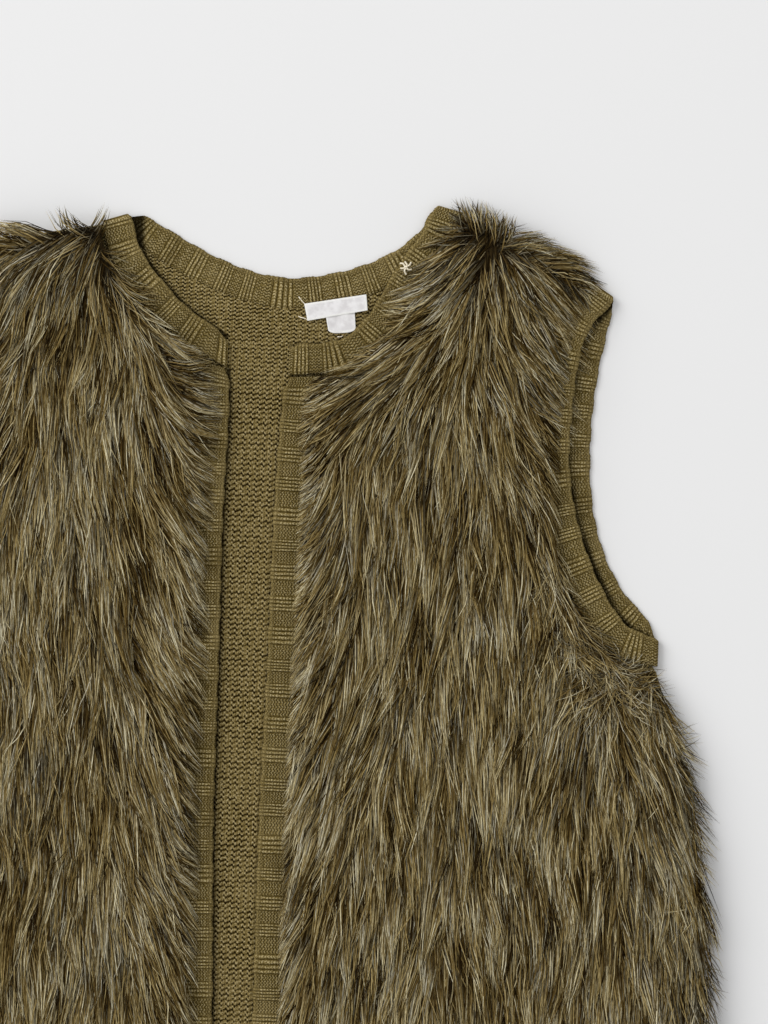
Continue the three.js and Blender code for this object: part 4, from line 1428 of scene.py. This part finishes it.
def hair_mesh(name, points, levels, shades, thin, chance, mirror):
    """Ribbons with two quads and a triangle each."""
    count = len(points)
    full = np.concatenate([points, levels[..., None]], axis=2)
    way = np.gradient(full, axis=1)
    side = np.stack([-way[..., 1], way[..., 0], np.zeros_like(way[..., 0])], axis=-1)
    side = side / np.maximum(np.linalg.norm(side, axis=-1, keepdims=True), 1e-6)
    roll = chance.normal(0, 0.45, count)
    side[..., 2] = np.sin(roll)[:, None]
    side[..., :2] *= np.cos(roll)[:, None, None]
    width = HAIR_WIDTH * chance.uniform(0.55, 1.2, count) * (1 - 0.35 * thin)
    width = width[:, None] * TAPER
    half = side[:, :3] * width[..., None] / 2
    ribbon = np.empty((count, RIBBON_POINTS, 3))
    ribbon[:, 0:6:2] = full[:, :3] - half
    ribbon[:, 1:6:2] = full[:, :3] + half
    ribbon[:, 6] = full[:, 3]
    if mirror:
        ribbon[..., 0] *= -1
    faces = RIBBON_MIRRORED if mirror else RIBBON
    pattern = np.concatenate(faces)
    hairs = np.arange(count)[:, None]
    loops = (hairs * RIBBON_POINTS + pattern).ravel()
    mesh = bpy.data.meshes.new(name)
    mesh.vertices.add(count * RIBBON_POINTS)
    mesh.vertices.foreach_set("co", to_frame(ribbon.reshape(-1, 3)).astype(np.float32).ravel())
    mesh.loops.add(len(loops))
    mesh.loops.foreach_set("vertex_index", loops.astype(np.int32))
    mesh.polygons.add(count * len(faces))
    starts = (hairs * len(pattern) + np.cumsum([0, len(faces[0]), len(faces[1])])).ravel()
    mesh.polygons.foreach_set("loop_start", starts.astype(np.int32))
    mesh.update(calc_edges=True)
    along = np.repeat(STOPS, 2)[:RIBBON_POINTS]
    beside = np.array([0, 1, 0, 1, 0, 1, 0.5]) * 0.8 / SHADES + 0.1 / SHADES
    chart = np.empty((count, RIBBON_POINTS, 2))
    chart[..., 0] = shades[:, None] + beside
    chart[..., 1] = along * 0.998 + 0.001
    mesh.uv_layers.new(name="OFBake").data.foreach_set("uv", chart.reshape(-1, 2)[loops].ravel())
    mesh.shade_smooth()
    mesh.validate()
    return mesh


def make_fur(name, front, mirror, seed):
    points, lock, locks, stray, ruffled, tone, chance = grow(front, seed)
    points = trim(front, points, chance)
    levels = lay(front, points, lock, mirror, stray, chance)
    shades = deal_shades(lock, locks, stray, ruffled, tone, seed)
    made = []
    for part, (low, high) in PARTS.items():
        here = (points[:, 0, 1] >= low) & (points[:, 0, 1] < high)
        title = f"{name}_{part}"
        mesh = hair_mesh(title, points[here], levels[here], shades[here], ruffled[here], chance, mirror)
        made.append(add_piece(title, mesh, fur_hair, "fur"))
        print(title, "has", here.sum(), "hairs")
    return made


fur_right = make_fur("fur_right", right, False, 11)
fur_left = make_fur("fur_left", left, True, 37)

# %% [markdown]
# Between the hairs shows the dense underfur. It is a copy of the front's solid, pressed down by a quarter and
# more at its rim, so no gap in the locks ever shows daylight. Its streaked, nearly black colour is partly the
# underfur's own and partly painted shade deep in the pile.

# %% Underfur
under_fur = Finish("underfur", 0.9, Specular_IOR_Level=0.1)
place = under_fur.node("ShaderNodeTexCoord", {}, {}, "Object")
stretched = under_fur.node("ShaderNodeMapping", {}, {0: place, 3: (900, 90, 300)})
streaks = under_fur.node("ShaderNodeTexNoise", {}, {"Vector": stretched, "Scale": 1, "Detail": 3})
patches = under_fur.noise(60, 2)
# Nearly black streaks: partly the underfur's own colour, partly painted shade deep in the pile.
shade = under_fur.blend(streaks.between(0.3, 0.75), tint(22, 14, 2), tint(66, 52, 24))
under_fur.colour(under_fur.blend(patches.between(0.4, 0.7) * 0.5, shade, tint(34, 24, 8)))
under_fur.bump(streaks, 0.0015, 0.8)
PRESSED = 0.74
PRESSED_MORE = 0.35
PRESSED_ABOVE = 7
RIM_WIDTH = 20
RIM_INSET = 1.5


def make_underfur(name, node, front, is_mirrored):
    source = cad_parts[node]
    ground = bpy.data.objects.new(name, source.data.copy())
    bpy.context.collection.objects.link(ground)
    bpy.context.view_layer.objects.active = ground
    ground.select_set(True)
    bpy.ops.object.mode_set(mode="EDIT")
    bpy.ops.mesh.select_all(action="SELECT")
    bpy.ops.mesh.remove_doubles(threshold=0.00001)
    bpy.ops.object.mode_set(mode="OBJECT")
    side = -1 if is_mirrored else 1
    spots = np.array([vertex.co for vertex in ground.data.vertices]) / MM - [0, NECK_CORNER_Y, 0]
    flat = spots[:, :2] * [side, 1]
    inset = sample(front.inset, flat)
    step = [np.array([RIM_INSET, 0]), np.array([0, RIM_INSET])]
    inward = np.column_stack([sample(front.inset, flat + s) - sample(front.inset, flat - s) for s in step])
    inward = inward / np.maximum(np.linalg.norm(inward, axis=1, keepdims=True), 1e-6)
    flat = flat + inward * np.maximum(RIM_INSET - inset, 0)[:, None]
    pressed = PRESSED - PRESSED_MORE * (1 - smooth(inset / RIM_WIDTH))
    over = spots[:, 2] - PRESSED_ABOVE
    height = np.where(over > 0, PRESSED_ABOVE + over * pressed, spots[:, 2])
    places = to_frame(np.column_stack([flat * [side, 1], height]))
    ground.data.vertices.foreach_set("co", places.astype(np.float32).ravel())
    ground.data.materials.clear()
    ground.data.shade_smooth()
    ground.select_set(False)
    dress(ground, under_fur, "fur", node)
    print(name, "has", len(ground.data.polygons), "faces")
    return ground


ground_right = make_underfur("underfur_right", "fur_front_right", right, False)
ground_left = make_underfur("underfur_left", "fur_front_left", left, True)
